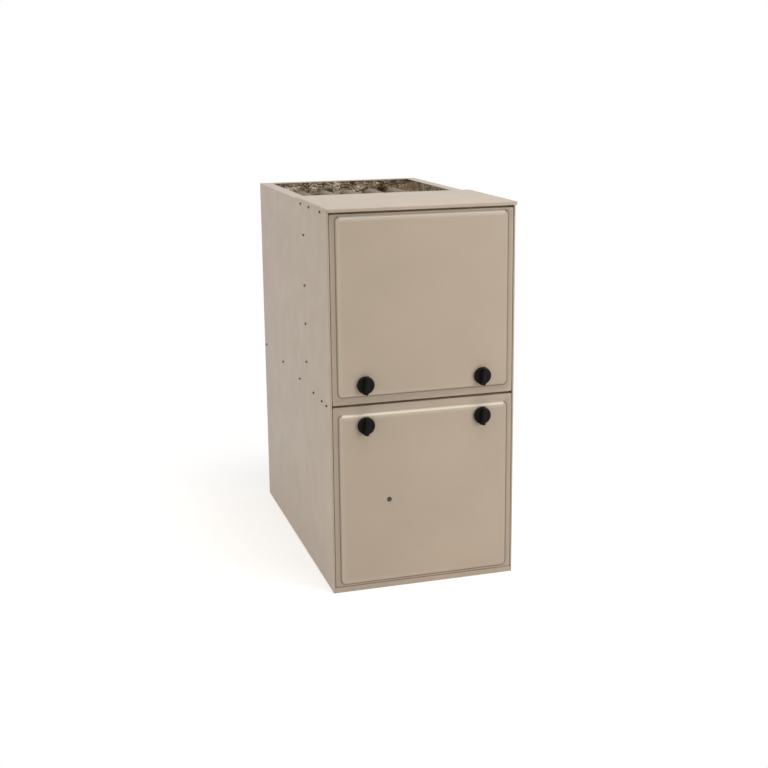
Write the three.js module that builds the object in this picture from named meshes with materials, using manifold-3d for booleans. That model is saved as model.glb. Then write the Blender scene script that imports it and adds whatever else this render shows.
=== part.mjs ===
// Forced air gas furnace: an upflow cabinet with its blower below and its heat exchanger above.
// Millimetres, +Z up, front towards -Y. Inside the furnace group a depth y is measured back from
// the front edge of the casing, x across from its middle and z up from the floor.
import * as THREE from "three";
import { mergeVertices } from "three/addons/utils/BufferGeometryUtils.js";
import Module from "manifold-3d";

const wasm = await Module();
wasm.setup();

// ---- Driving dimensions ----

const seatGap = 0.3; // clearance between two pieces that touch
const sheet = 1; // thickness of every folded sheet

// casing, one sheet wrapped round the left side, the back and the right side
const casingWidth = 440;
const casingDepth = 749;
const casingHeight = 884;
const noseWidth = 4; // front edge of each side, folded in
const rabbetDepth = 20; // front edge to the back of the return flange
const returnFlange = 20; // flange behind the doors' edges
const ductFlange = 30; // flange round the supply opening
const footFlange = 20; // flange that the cabinet stands on

// top plate, over the front of the cabinet
const plateRise = 5; // above the top edge of the casing
const plateReach = 305; // back edge of the plate
const plateOverhang = 8; // front edge of the plate, ahead of the casing
const plateSideOverhang = 2;
const plateLip = 8;
const plateTuck = 16; // flange inside the casing
const plateHeader = 28; // flange behind the top edge of the upper door

// base
const railHeight = 13;

// blower deck between the two compartments
const deckHeight = 450;
const deckFlange = 22;
const deckSetback = 2.3; // front edge of the deck, behind the return flange

// doors, pressed pans with a raised field
const doorGap = 1; // door to nose, and door to rail
const doorThickness = 18.7;
const seamDrop = 5.5; // middle of the gap between the doors, below the deck
const seamHeight = deckHeight - seamDrop;
const seamGap = 5;
const upperDoorDrop = 8; // top edge of the upper door, below the casing's
const doorCorner = 4;
const fieldRise = 5;
const fieldMarginSide = 12;
const fieldMarginSeam = 17; // field to the edge of the door at the seam
const fieldMarginEnd = 4; // field to the far edge of the door
const fieldCorner = 12;
const linerThickness = 10;

// quarter turn knobs and what they lock behind
const knobInset = 80.5; // from the side of the casing
const knobFromSeam = 47.2;
const knobRadius = 20;
const knobDisc = 8;
const knobHeight = 20;
const gripWidth = 15;
const shaftRadius = 4.5;
const camLength = 26;
const camWidth = 8;
const camThickness = 3;
const keeperSlotWidth = 14;
const keeperSlotHeight = 34;
const keeperThickness = 2;
const keeperBorder = 20;

// sight glass in the lower door
const sightX = -85.6;
const sightZ = 216.6;
const sightRadius = 6;

// vestibule panel and heat exchanger tubes
const vestibuleDepth = 236;
const vestibuleFlange = 20;
const tubeCount = 5;
const tubePitch = 64;
const tubeRadius = 19;
const tubeWall = 1.4;
const topPassDrop = 36; // top pass below the top of the casing
const firstPassRise = 80; // first pass above the deck
const passClearBack = 43; // centre of the rear bends to the back of the casing
const passClearFront = 26; // centre of the front bend to the vestibule panel
const tubeSides = 10;
const tubeProud = 3; // tube mouth ahead of the vestibule panel
const blanketThickness = 12;

// collector box and draft inducer
const collectorDepth = 45;
const collectorBelow = 128;
const collectorAbove = 24;
const collectorMargin = 24;
const collectorSheet = 1.5;
const inducerDrop = 88; // centre of the inducer below the top pass
const inducerRadius = 62;
const inducerDepth = 60;
const inducerWall = 2;
const inducerInletRadius = 30;
const inducerWheelRadius = 50;
const inducerBlades = 8;
const inducerShaftRadius = 4;
const inducerMotorRadius = 38;
const inducerMotorLength = 50;
const ventRadius = 25;
const ventWall = 1.5;
const ventNeckReach = 92;
const ventBend = 40;
const ventMouthGap = 24; // from the mouth of the elbow to the underside of the top plate

// burners and gas train
const burnerLength = 136;
const burnerWall = 1.5;
const burnerGap = 7; // burner head to tube mouth
const burnerHeadRadius = 17;
const burnerBodyRadius = 13;
const burnerThroatRadius = 10;
const bracketSetback = 34; // burner bracket ahead of the vestibule panel
const bracketHalfHeight = 35;
const manifoldRadius = 11;
const manifoldDepth = 74;
const nippleRadius = 5;
const valveX = -60;
const valveWidth = 80;
const valveHeight = 60;
const valveThickness = 60;
const valveRise = 35; // bottom of the valve above the manifold's centre
const switchTravel = 6;
const igniterOffset = 24; // from the axis of the end burner, inwards
const probeRise = 15;

// blower
const wheelRadius = 120;
const scrollWidth = 230;
const wheelSideGap = 15; // wheel to each side plate
const wheelWidth = scrollWidth - 2 * wheelSideGap;
const bladeCount = 30;
const bladeDepth = 24;
const bladeThickness = 1;
const bladeLean = 2; // degrees at the blade's middle, four times that at its tip
const wheelRimHeight = 8;
const hubRadius = 16;
const hubLength = 34;
const blowerShaftRadius = 6.35;
const blowerHeight = 205; // axis of the wheel above the floor
const blowerDepth = 430;
const scrollStart = 132; // radius at the cutoff
const scrollEnd = 190; // radius where it meets the outlet
const cutoffAngle = 100; // degrees from straight back, over the top
const scrollSteps = 18;
const inletRadius = 103;
const inletCurl = 10;
const sideFlange = 16;
const railDrop = 16;
const motorRadius = 70;
const motorSides = 18;
const motorLength = 120;
const motorStart = 30;
const bandWidth = 20;
const bandThickness = 2;
const armCount = 3;
const armWidth = 16;
const armReach = 118;

// controls, on a bracket that hangs from the deck
const controlDepth = 100;
const controlLeft = -190;
const controlRight = 30;
const controlBottom = 150;
const boardWidth = 160;
const boardHeight = 120;
const boardStandoff = 7;
const boardThickness = 1.6;
const boardMargin = 15; // edge of the bracket to the board
const lampDrop = 5; // lamp of the board below its middle, behind the sight glass
const coreWidth = 60;
const coreHeight = 44;
const coreDepth = 40;
const coilWidth = 36;
const coilHeight = 60;
const footWidth = 80;
const footHeight = 24;
const footThickness = 4;
const powerMargin = 55; // edge of the bracket to the middle of the transformer
const powerRise = 68.4; // middle of the transformer above the board
const capacitorRadius = 20;
const capacitorHeight = 80;
const capacitorMargin = 45; // edge of the bracket to the capacitor's axis
const capacitorRise = 18.4; // foot of the capacitor above the board
const switchX = 60;
const plungerRadius = 4;
const plungerDrop = 14; // plunger below the deck
const plungerLength = 28;

// ---- Materials ----

function paint(color, roughness, metalness) {
  return new THREE.MeshStandardMaterial({ color, roughness, metalness });
}
const casingPaint = paint(0xb5a695, 0.5, 0.15);
const galvanised = paint(0xb9bcbd, 0.42, 0.8);
const foil = paint(0xd6d2c8, 0.3, 0.9);
const aluminisedSteel = paint(0xa9a59d, 0.4, 0.8);
const castAluminium = paint(0xc2c2bf, 0.45, 0.85);
const blackPlastic = paint(0x17171a, 0.45, 0);
const darkEnamel = paint(0x2a2b2d, 0.5, 0.3);
const boardGreen = paint(0x1f5a3a, 0.5, 0);
const redPlastic = paint(0xa32a22, 0.4, 0);
const smokedGlass = paint(0x1c1d20, 0.1, 0);
const rubber = paint(0x222222, 0.8, 0);
const ceramic = paint(0xe6e0d2, 0.7, 0);

// ---- Making solids ----

// Vertices lie on a grid of a micrometre, so that faces which meet are exactly in one plane.
const grid = 1000;

function solid(geometry) {
  const bare = geometry.index ? geometry.toNonIndexed() : geometry.clone();
  bare.deleteAttribute("normal");
  bare.deleteAttribute("uv");
  const places = bare.attributes.position.array;
  places.forEach((value, i) => {
    places[i] = Math.round(value * grid) / grid;
  });
  const merged = mergeVertices(bare, 1e-4);
  const data = {
    numProp: 3,
    vertProperties: merged.attributes.position.array,
    triVerts: new Uint32Array(merged.index.array),
  };
  return new wasm.Manifold(new wasm.Mesh(data));
}

function geometryOf(manifold) {
  const data = manifold.getMesh();
  const geometry = new THREE.BufferGeometry();
  geometry.setAttribute("position", new THREE.BufferAttribute(data.vertProperties, 3));
  geometry.setIndex(new THREE.BufferAttribute(data.triVerts, 1));
  geometry.computeVertexNormals();
  return geometry;
}

function piece(name, shape, material, parent) {
  const geometry = shape.isBufferGeometry ? shape : geometryOf(shape);
  const mesh = new THREE.Mesh(geometry, material);
  mesh.name = name;
  parent.add(mesh);
  return mesh;
}

function subgroup(parent, x, y, z) {
  const group = new THREE.Group();
  group.position.set(x, y, z);
  parent.add(group);
  return group;
}

// A block between two corners.
function block(x0, x1, y0, y1, z0, z1) {
  const geometry = new THREE.BoxGeometry(x1 - x0, y1 - y0, z1 - z0);
  return geometry.translate((x0 + x1) / 2, (y0 + y1) / 2, (z0 + z1) / 2);
}

// A shape drawn in x and y, raised along z.
function alongZ(shape, z0, z1) {
  const geometry = new THREE.ExtrudeGeometry(shape, { depth: z1 - z0, bevelEnabled: false });
  return geometry.translate(0, 0, z0);
}

// A shape drawn in x and z, carried along y.
function alongY(shape, y0, y1) {
  const geometry = new THREE.ExtrudeGeometry(shape, { depth: y1 - y0, bevelEnabled: false });
  return geometry.rotateX(Math.PI / 2).translate(0, y1, 0);
}

// A shape drawn in y and z, carried along x.
function alongX(shape, x0, x1) {
  const geometry = new THREE.ExtrudeGeometry(shape, { depth: x1 - x0, bevelEnabled: false });
  const turn = new THREE.Matrix4().makeBasis(
    new THREE.Vector3(0, 1, 0),
    new THREE.Vector3(0, 0, 1),
    new THREE.Vector3(1, 0, 0),
  );
  return geometry.applyMatrix4(turn).translate(x0, 0, 0);
}

// A turned piece: points are [radius, place along the axis], anticlockwise.
function turned(points, sides) {
  return new THREE.LatheGeometry(points.map(([r, h]) => new THREE.Vector2(r, h)), sides);
}
const turnedY = (points, sides) => turned(points, sides);
const turnedX = (points, sides) => turned(points, sides).rotateZ(-Math.PI / 2);
const turnedZ = (points, sides) => turned(points, sides).rotateX(Math.PI / 2);

function cylinderY(radius, y0, y1, sides, x = 0, z = 0) {
  const profile = [[0, y0], [radius, y0], [radius, y1], [0, y1]];
  return turnedY(profile, sides).translate(x, 0, z);
}

// The outline of a sheet folded along a line of points. A positive thickness lies on the left.
function foldedSheet(points, thickness) {
  const line = points.map(([x, y]) => new THREE.Vector2(x, y));
  const normals = line.slice(1).map((end, i) => {
    const run = end.clone().sub(line[i]).normalize();
    return new THREE.Vector2(-run.y, run.x);
  });
  const inner = line.map((point, i) => {
    const before = normals[Math.max(i - 1, 0)];
    const after = normals[Math.min(i, normals.length - 1)];
    const mitre = before.clone().add(after);
    return point.clone().addScaledVector(mitre, thickness / (1 + before.dot(after)));
  });
  return new THREE.Shape([...line, ...inner.reverse()]);
}

function mirrored(points) {
  const other = points.map(([x, y]) => [-x, y]).reverse();
  return [...points, ...other];
}

function roundedRectangle(x0, x1, y0, y1, radius, steps) {
  const centres = [
    [x1 - radius, y0 + radius, -90],
    [x1 - radius, y1 - radius, 0],
    [x0 + radius, y1 - radius, 90],
    [x0 + radius, y0 + radius, 180],
  ];
  const points = centres.flatMap(([cx, cy, start]) =>
    Array.from({ length: steps + 1 }, (_, i) => {
      const angle = THREE.MathUtils.degToRad(start + (90 * i) / steps);
      return new THREE.Vector2(cx + radius * Math.cos(angle), cy + radius * Math.sin(angle));
    }),
  );
  return new THREE.Shape(points);
}

function circle(radius, sides, x = 0, y = 0) {
  const points = Array.from({ length: sides }, (_, i) => {
    const angle = (2 * Math.PI * i) / sides;
    return new THREE.Vector2(x + radius * Math.cos(angle), y + radius * Math.sin(angle));
  });
  return new THREE.Shape(points);
}

// A flat path with its corners bent to a radius, as points of the path's middle line.
function bentPath(corners, radius, stepsPerCorner) {
  const points = [corners[0]];
  corners.slice(1, -1).forEach((corner, i) => {
    const back = corners[i].clone().sub(corner).normalize();
    const on = corners[i + 2].clone().sub(corner).normalize();
    const centre = corner.clone().addScaledVector(back, radius).addScaledVector(on, radius);
    for (let step = 0; step <= stepsPerCorner; step++) {
      const angle = (Math.PI / 2) * (step / stepsPerCorner);
      const point = centre.clone();
      point.addScaledVector(on, -radius * Math.cos(angle));
      point.addScaledVector(back, -radius * Math.sin(angle));
      if (point.distanceTo(points[points.length - 1]) > seatGap) points.push(point);
    }
  });
  points.push(corners[corners.length - 1]);
  return points;
}

// A path in one plane whose sections stand square to it, one at each of its points.
class BentTubePath extends THREE.Curve {
  constructor(points, planeNormal) {
    super();
    this.points = points;
    this.planeNormal = planeNormal;
  }
  getSpacedPoints() {
    return this.points;
  }
  computeFrenetFrames() {
    const last = this.points.length - 1;
    const tangents = this.points.map((point, i) => {
      const from = this.points[Math.max(i - 1, 0)];
      const to = this.points[Math.min(i + 1, last)];
      const before = i === 0 ? to.clone().sub(point) : point.clone().sub(from);
      const after = i === last ? before.clone() : to.clone().sub(point);
      return before.normalize().add(after.normalize()).normalize();
    });
    const normals = tangents.map(() => this.planeNormal.clone());
    const binormals = tangents.map((tangent) => tangent.clone().cross(this.planeNormal));
    return { tangents, normals, binormals };
  }
}

function sweep(section, points, planeNormal) {
  const extrudePath = new BentTubePath(points, planeNormal);
  return new THREE.ExtrudeGeometry(section, {
    steps: points.length - 1,
    extrudePath,
    bevelEnabled: false,
  });
}

function pipeSection(radius, wall, sides, boreSides) {
  const section = circle(radius, sides);
  section.holes.push(circle(radius - wall, boreSides));
  return section;
}

// ---- Places that several pieces share ----

const sideX = casingWidth / 2;
const innerX = sideX - sheet;
const noseX = sideX - noseWidth;
const returnX = noseX - returnFlange;
const wallX = innerX - seatGap; // outer face of what is fixed to the sides inside
const backY = casingDepth - sheet - seatGap;
const flangeFront = rabbetDepth - sheet;
const keeperFront = rabbetDepth + seatGap;
const deckFront = rabbetDepth + deckSetback + seatGap;
const deckUnder = deckHeight - sheet - seatGap;
const topPassZ = casingHeight - topPassDrop;
const firstPassZ = deckHeight + firstPassRise;
const passPitch = (topPassZ - firstPassZ) / 3;
const vestibuleFront = vestibuleDepth - sheet;
const inducerZ = topPassZ - inducerDrop;
const collectorFront = vestibuleFront - seatGap - collectorDepth;
const inducerBack = collectorFront - seatGap;
const inducerFront = inducerBack - inducerDepth;
const bracketDepth = vestibuleFront - bracketSetback;
const burnerBack = vestibuleFront - tubeProud - burnerGap;
const plateTop = casingHeight + plateRise;
const knobX = sideX - knobInset;
const doorX = noseX - doorGap;
const upperDoorLow = seamHeight + seamGap / 2;
const upperDoorHigh = casingHeight - upperDoorDrop;
const lowerDoorLow = railHeight + doorGap;
const lowerDoorHigh = seamHeight - seamGap / 2;
const tubeXs = Array.from({ length: tubeCount }, (_, i) => (i - (tubeCount - 1) / 2) * tubePitch);

const furnace = new THREE.Group();
furnace.position.y = -(casingDepth - fieldRise - knobHeight) / 2;

// ---- Casing, top plate and base ----

function casingWrap() {
  const right = [
    [returnX, flangeFront],
    [noseX, flangeFront],
    [noseX, 0],
    [sideX, 0],
    [sideX, casingDepth],
  ];
  const wrap = alongZ(foldedSheet(mirrored(right), sheet), 0, casingHeight);
  const flange = (start, width) => {
    const line = mirrored([[sideX, start], [sideX, casingDepth]]);
    return foldedSheet(line, width);
  };
  const ductStart = plateReach + seatGap;
  const duct = alongZ(flange(ductStart, ductFlange), casingHeight - sheet, casingHeight);
  const foot = alongZ(flange(flangeFront, footFlange), 0, sheet);
  return solid(wrap).add(solid(duct)).add(solid(foot));
}

function topPlate() {
  const rimX = sideX + plateSideOverhang;
  const tuckX = wallX - sheet;
  const ledge = casingHeight + seatGap;
  const left = [
    [-wallX, casingHeight - plateTuck],
    [-wallX, ledge],
    [-rimX, ledge],
    [-rimX, plateTop],
  ];
  const cover = solid(alongY(foldedSheet(mirrored(left), -sheet), -plateOverhang, plateReach));
  const tuckFront = rabbetDepth + seatGap;
  const notch = block(-sideX, sideX, -2 * plateOverhang, tuckFront, 0, ledge);
  const lipBack = -plateOverhang + sheet;
  const lip = block(-rimX, rimX, -plateOverhang, lipBack, plateTop - plateLip, plateTop);
  const headerBack = tuckFront + sheet;
  const header = block(-tuckX, tuckX, tuckFront, headerBack, plateTop - plateHeader, plateTop);
  const hem = block(-tuckX, tuckX, plateReach - sheet, plateReach, plateTop - plateTuck, plateTop);
  return cover.subtract(solid(notch)).add(solid(lip)).add(solid(header)).add(solid(hem));
}

function baseRail() {
  const back = flangeFront - seatGap;
  const section = foldedSheet([[back, 0], [0, 0], [0, railHeight], [back, railHeight]], -sheet);
  return alongX(section, -noseX + seatGap, noseX - seatGap);
}

function bottomPanel() {
  const low = sheet + seatGap;
  return block(-wallX, wallX, rabbetDepth + seatGap, backY, low, low + sheet);
}

// ---- Blower deck and the keepers of the door latches ----

function outletOpening() {
  const front = blowerDepth + scrollStart * Math.cos(THREE.MathUtils.degToRad(cutoffAngle));
  return { front, back: blowerDepth + scrollEnd, half: scrollWidth / 2 };
}

// The deck is a pan turned over, with a hole for the blower's outlet.
function blowerDeck() {
  const low = deckHeight - deckFlange;
  const outer = solid(block(-wallX, wallX, deckFront, backY, low, deckHeight));
  const insideX = wallX - sheet;
  const under = deckHeight - sheet;
  const inner = block(-insideX, insideX, deckFront + sheet, backY - sheet, low - sheet, under);
  const mouth = outletOpening();
  const opening = block(-mouth.half, mouth.half, mouth.front, mouth.back, low, deckHeight + sheet);
  const plungerZ = deckHeight - plungerDrop;
  const plungerHole = cylinderY(plungerRadius + seatGap, 0, 2 * deckFront, 12, switchX, plungerZ);
  return outer.subtract(solid(inner)).subtract(solid(opening)).subtract(solid(plungerHole));
}

function latchKeeper(side) {
  const near = side * (knobX - keeperBorder);
  const far = side * (noseX - seatGap);
  const knobZs = [seamHeight - knobFromSeam, seamHeight + knobFromSeam];
  const half = keeperSlotHeight / 2;
  const plate = roundedRectangle(
    Math.min(near, far),
    Math.max(near, far),
    knobZs[0] - half - keeperBorder / 2,
    knobZs[1] + half + keeperBorder / 2,
    4,
    3,
  );
  knobZs.forEach((z) => {
    const x = side * knobX;
    const halfWidth = keeperSlotWidth / 2;
    const slot = roundedRectangle(x - halfWidth, x + halfWidth, z - half, z + half, halfWidth / 2, 2);
    plate.holes.push(slot);
  });
  return alongY(plate, keeperFront, keeperFront + keeperThickness);
}

piece("casing_wrap", casingWrap(), casingPaint, furnace);
piece("top_plate", topPlate(), casingPaint, furnace);
piece("base_rail", baseRail(), casingPaint, furnace);
piece("bottom_closure_panel", bottomPanel(), galvanised, furnace);
piece("blower_deck", blowerDeck(), galvanised, furnace);
piece("latch_keeper_left", latchKeeper(-1), galvanised, furnace);
piece("latch_keeper_right", latchKeeper(1), galvanised, furnace);

// ---- Doors, liners, sight glass and knobs ----

// A door is a pan folded back at its edges, with a raised field pressed into its face.
function doorPan(low, high, fieldLow, fieldHigh) {
  const shell = (inset, front) => {
    const edge = roundedRectangle(-doorX + inset, doorX - inset, low + inset, high - inset, doorCorner, 3);
    const fieldX = doorX - fieldMarginSide;
    const field = roundedRectangle(-fieldX, fieldX, fieldLow, fieldHigh, fieldCorner, 4);
    const press = new THREE.ExtrudeGeometry(field, {
      depth: 2 * fieldRise,
      bevelThickness: fieldRise,
      bevelSize: fieldRise,
      bevelOffset: -fieldRise,
      bevelSegments: 1,
    });
    press.rotateX(Math.PI / 2).translate(0, 2 * fieldRise + front, 0);
    const behind = solid(block(-sideX, sideX, doorThickness, 4 * doorThickness, low, high));
    const pan = solid(alongY(edge, front, doorThickness + inset));
    return pan.add(solid(press).subtract(behind));
  };
  return shell(0, 0).subtract(shell(sheet, sheet));
}

function shaftHole(x, z, radius) {
  return solid(cylinderY(radius, -2 * fieldRise, 2 * doorThickness, 16, x, z));
}

function doorWithHoles(pan, knobZ) {
  const hole = shaftRadius + seatGap;
  return pan.subtract(shaftHole(-knobX, knobZ, hole)).subtract(shaftHole(knobX, knobZ, hole));
}

function doorLiner(low, high, knobZ) {
  const inset = sheet + seatGap;
  const edge = roundedRectangle(-doorX + inset, doorX - inset, low + inset, high - inset, doorCorner, 3);
  const wide = 2 * shaftRadius;
  edge.holes.push(circle(wide, 12, -knobX, knobZ));
  edge.holes.push(circle(wide, 12, knobX, knobZ));
  return edge;
}

// The knob's shaft goes through door and liner, and its cam locks behind the keeper.
function doorKnob() {
  const camBack = fieldRise + keeperFront + keeperThickness + camThickness + 1;
  const disc = turnedY(
    [
      [0, -knobDisc],
      [knobRadius - 2, -knobDisc],
      [knobRadius, -knobDisc + 2],
      [knobRadius, -seatGap],
      [shaftRadius, -seatGap],
      [shaftRadius, camBack],
      [0, camBack],
    ],
    16,
  );
  const halfGrip = gripWidth / 2;
  const reach = knobRadius - 1;
  const grip = roundedRectangle(-halfGrip, halfGrip, -reach, reach, halfGrip - 0.5, 2);
  const bar = new THREE.ExtrudeGeometry(grip, {
    depth: knobHeight - knobDisc - 1,
    bevelThickness: 2,
    bevelSize: 2,
    bevelOffset: -2,
    bevelSegments: 1,
  });
  bar.rotateX(Math.PI / 2).translate(0, -knobDisc + 1, 0);
  const trim = block(-knobRadius, knobRadius, -2 * knobHeight, -knobHeight, -knobRadius, knobRadius);
  const camFront = camBack - camThickness;
  const cam = roundedRectangle(-camWidth / 2, camWidth / 2, -camLength / 2, camLength / 2, 3, 1);
  return solid(disc).add(solid(bar)).subtract(solid(trim)).add(solid(alongY(cam, camFront, camBack)));
}

const upperKnobZ = seamHeight + knobFromSeam;
const lowerKnobZ = seamHeight - knobFromSeam;
const upperField = [upperDoorLow + fieldMarginSeam, upperDoorHigh - fieldMarginEnd];
const lowerField = [lowerDoorLow + fieldMarginEnd + doorGap, lowerDoorHigh - fieldMarginSeam];
const linerFront = sheet + seatGap;

const upperDoor = subgroup(furnace, 0, 0, 0);
const upperPan = doorWithHoles(doorPan(upperDoorLow, upperDoorHigh, ...upperField), upperKnobZ);
piece("upper_door", upperPan, casingPaint, upperDoor);
const upperLiner = doorLiner(upperDoorLow, upperDoorHigh, upperKnobZ);
piece("upper_door_liner", alongY(upperLiner, linerFront, linerFront + linerThickness), foil, upperDoor);

const lowerDoor = subgroup(furnace, 0, 0, 0);
const lowerPan = doorWithHoles(doorPan(lowerDoorLow, lowerDoorHigh, ...lowerField), lowerKnobZ);
const sightHole = shaftHole(sightX, sightZ, sightRadius + seatGap);
piece("lower_door", lowerPan.subtract(sightHole), casingPaint, lowerDoor);
const lowerLiner = doorLiner(lowerDoorLow, lowerDoorHigh, lowerKnobZ);
lowerLiner.holes.push(circle(1.4 * sightRadius, 12, sightX, sightZ));
piece("lower_door_liner", alongY(lowerLiner, linerFront, linerFront + linerThickness), foil, lowerDoor);

function sightGlass() {
  const rim = 1.25 * sightRadius;
  const profile = [
    [0, -1.4],
    [0.7 * sightRadius, -1.2],
    [rim, -0.9],
    [rim, -seatGap],
    [sightRadius, -seatGap],
    [sightRadius, sheet + 2],
    [0, sheet + 2],
  ];
  return turnedY(profile, 12);
}
const glass = piece("sight_glass", sightGlass(), smokedGlass, lowerDoor);
glass.position.set(sightX, -fieldRise, sightZ);

const knobs = [
  ["door_knob_upper_left", upperDoor, -knobX, upperKnobZ],
  ["door_knob_upper_right", upperDoor, knobX, upperKnobZ],
  ["door_knob_lower_left", lowerDoor, -knobX, lowerKnobZ],
  ["door_knob_lower_right", lowerDoor, knobX, lowerKnobZ],
];
knobs.forEach(([name, door, x, z]) => {
  piece(name, doorKnob(), blackPlastic, door).position.set(x, -fieldRise, z);
});

// ---- Vestibule panel, insulation and heat exchanger ----

const limitSwitchX = wallX - 44;
const limitSwitchZ = firstPassZ + 110;

function vestibulePanel() {
  const left = [[-wallX, vestibuleDepth - vestibuleFlange], [-wallX, vestibuleDepth]];
  const low = deckHeight + seatGap;
  const high = plateTop - sheet - seatGap;
  let panel = solid(alongZ(foldedSheet(mirrored(left), -sheet), low, high));
  const notchX = wallX - sheet - seatGap;
  const notchZ = casingHeight - plateTuck - seatGap;
  [-1, 1].forEach((side) => {
    const ends = [side * notchX, side * sideX];
    const notch = block(Math.min(...ends), Math.max(...ends), 0, casingDepth, notchZ, plateTop);
    panel = panel.subtract(solid(notch));
  });
  const holes = tubeXs.flatMap((x) => [firstPassZ, topPassZ].map((z) => [x, z, tubeRadius]));
  holes.push([limitSwitchX, limitSwitchZ, tubeRadius / 2]);
  holes.forEach(([x, z, radius]) => {
    const hole = alongY(circle(radius + seatGap, tubeSides, x, z), 0, casingDepth);
    panel = panel.subtract(solid(hole));
  });
  return panel;
}

// Foil faced blanket on three walls, cut away at its top for the tuck of the top plate.
function insulationBlanket() {
  const front = vestibuleDepth + seatGap;
  const line = mirrored([[wallX, front], [wallX, backY]]);
  const low = deckHeight + seatGap;
  const blanket = solid(alongZ(foldedSheet(line, blanketThickness), low, casingHeight - sheet - seatGap));
  const notchLow = casingHeight - plateTuck - seatGap;
  return blanket.subtract(solid(block(-sideX, sideX, 0, plateReach + seatGap, notchLow, casingHeight)));
}

// One steel tube bent back and forth four times, from its burner up to the collector box.
function exchangerTube() {
  const mouth = vestibuleFront - tubeProud;
  const back = casingDepth - passClearBack;
  const front = vestibuleDepth + passClearFront;
  const levels = [0, 1, 2, 3].map((pass) => firstPassZ + pass * passPitch);
  const corners = [
    [mouth, levels[0]],
    [back, levels[0]],
    [back, levels[1]],
    [front, levels[1]],
    [front, levels[2]],
    [back, levels[2]],
    [back, levels[3]],
    [mouth, levels[3]],
  ].map(([y, z]) => new THREE.Vector3(0, y, z));
  const path = bentPath(corners, passPitch / 2, 3);
  return sweep(pipeSection(tubeRadius, tubeWall, tubeSides, 6), path, new THREE.Vector3(1, 0, 0));
}

piece("vestibule_panel", vestibulePanel(), galvanised, furnace);
piece("insulation_blanket", insulationBlanket(), foil, furnace);
const exchanger = subgroup(furnace, 0, 0, 0);
tubeXs.forEach((x, i) => {
  piece(`heat_exchanger_tube_${i + 1}`, exchangerTube(), aluminisedSteel, exchanger).position.x = x;
});

// ---- Collector box, draft inducer and vent elbow ----

const collectorX = tubeXs[tubeCount - 1] + collectorMargin;

function collectorBox() {
  const low = topPassZ - collectorBelow;
  const high = topPassZ + collectorAbove;
  const back = collectorFront + collectorDepth;
  const outer = solid(block(-collectorX, collectorX, collectorFront, back, low, high));
  const t = collectorSheet;
  const inner = block(-collectorX + t, collectorX - t, collectorFront + t, back + t, low + t, high - t);
  const outlet = cylinderY(inducerInletRadius, 0, back, 16, 0, inducerZ);
  return outer.subtract(solid(inner)).subtract(solid(outlet));
}

const neckZ = inducerRadius - ventRadius - ventWall;

// The draft inducer's drum with its outlet neck, round the centre of its wheel.
function inducerHousing() {
  const half = inducerDepth / 2;
  const drum = solid(cylinderY(inducerRadius, -half, half, 24));
  const neckOuter = ventRadius + ventWall;
  const neckProfile = [[0, 0], [neckOuter, 0], [neckOuter, ventNeckReach], [0, ventNeckReach]];
  const boreProfile = [[0, 1], [ventRadius, 1], [ventRadius, 2 * ventNeckReach], [0, 2 * ventNeckReach]];
  const neck = solid(turnedX(neckProfile, 12).translate(0, 0, neckZ));
  const bore = solid(turnedX(boreProfile, 12).translate(0, 0, neckZ));
  const inside = half - inducerWall;
  const hollow = solid(cylinderY(inducerRadius - inducerWall, -inside, inside, 24));
  const inlet = solid(cylinderY(inducerInletRadius, 0, inducerDepth, 16));
  const shaftBore = solid(cylinderY(inducerShaftRadius + seatGap, -inducerDepth, 0, 12));
  return drum.add(neck).subtract(bore).subtract(hollow).subtract(inlet).subtract(shaftBore);
}

function inducerWheel() {
  const half = inducerDepth / 2 - inducerWall - 6;
  const shaftEnd = -inducerDepth / 2 - inducerMotorLength / 2;
  let wheel = solid(cylinderY(inducerWheelRadius, -half, -half + 2, 20));
  wheel = wheel.add(solid(cylinderY(inducerShaftRadius * 3, -half, half / 2, 12)));
  wheel = wheel.add(solid(cylinderY(inducerShaftRadius, shaftEnd, 0, 12)));
  for (let i = 0; i < inducerBlades; i++) {
    const blade = block(inducerShaftRadius * 2, inducerWheelRadius - 1, -half, half, -0.8, 0.8);
    blade.rotateY((2 * Math.PI * i) / inducerBlades);
    wheel = wheel.add(solid(blade));
  }
  return wheel;
}

function inducerMotor() {
  const back = -inducerDepth / 2 - seatGap;
  const front = back - inducerMotorLength;
  const bore = inducerShaftRadius + seatGap;
  const boss = inducerMotorRadius / 2;
  const profile = [
    [0, front],
    [inducerMotorRadius - 6, front],
    [inducerMotorRadius, front + 6],
    [inducerMotorRadius, back - 12],
    [inducerMotorRadius - 6, back - 8],
    [boss, back - 8],
    [boss, back],
    [bore, back],
    [bore, front + 8],
    [0, front + 8],
  ];
  return turnedY(profile, 16);
}

function ventElbow() {
  const start = new THREE.Vector3(ventNeckReach + seatGap, 0, neckZ);
  const turn = new THREE.Vector3(ventNeckReach + ventBend, 0, neckZ);
  const topZ = plateTop - sheet - ventMouthGap - inducerZ;
  const end = new THREE.Vector3(ventNeckReach + ventBend, 0, topZ);
  const path = bentPath([start, turn, end], ventBend - 4, 4);
  const section = pipeSection(ventRadius + ventWall, ventWall, 12, 12);
  return sweep(section, path, new THREE.Vector3(0, 1, 0));
}

piece("collector_box", collectorBox(), aluminisedSteel, furnace);
const inducer = subgroup(furnace, 0, (inducerFront + inducerBack) / 2, inducerZ);
piece("inducer_housing", inducerHousing(), darkEnamel, inducer);
piece("inducer_wheel", inducerWheel(), aluminisedSteel, inducer);
piece("inducer_motor", inducerMotor(), darkEnamel, inducer);
piece("vent_elbow", ventElbow(), galvanised, inducer);

// ---- Burners and gas train, round the line of the first pass ----

const burnerRow = subgroup(furnace, 0, 0, firstPassZ);
const bracketX = tubeXs[tubeCount - 1] + tubeRadius + 4;

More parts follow.
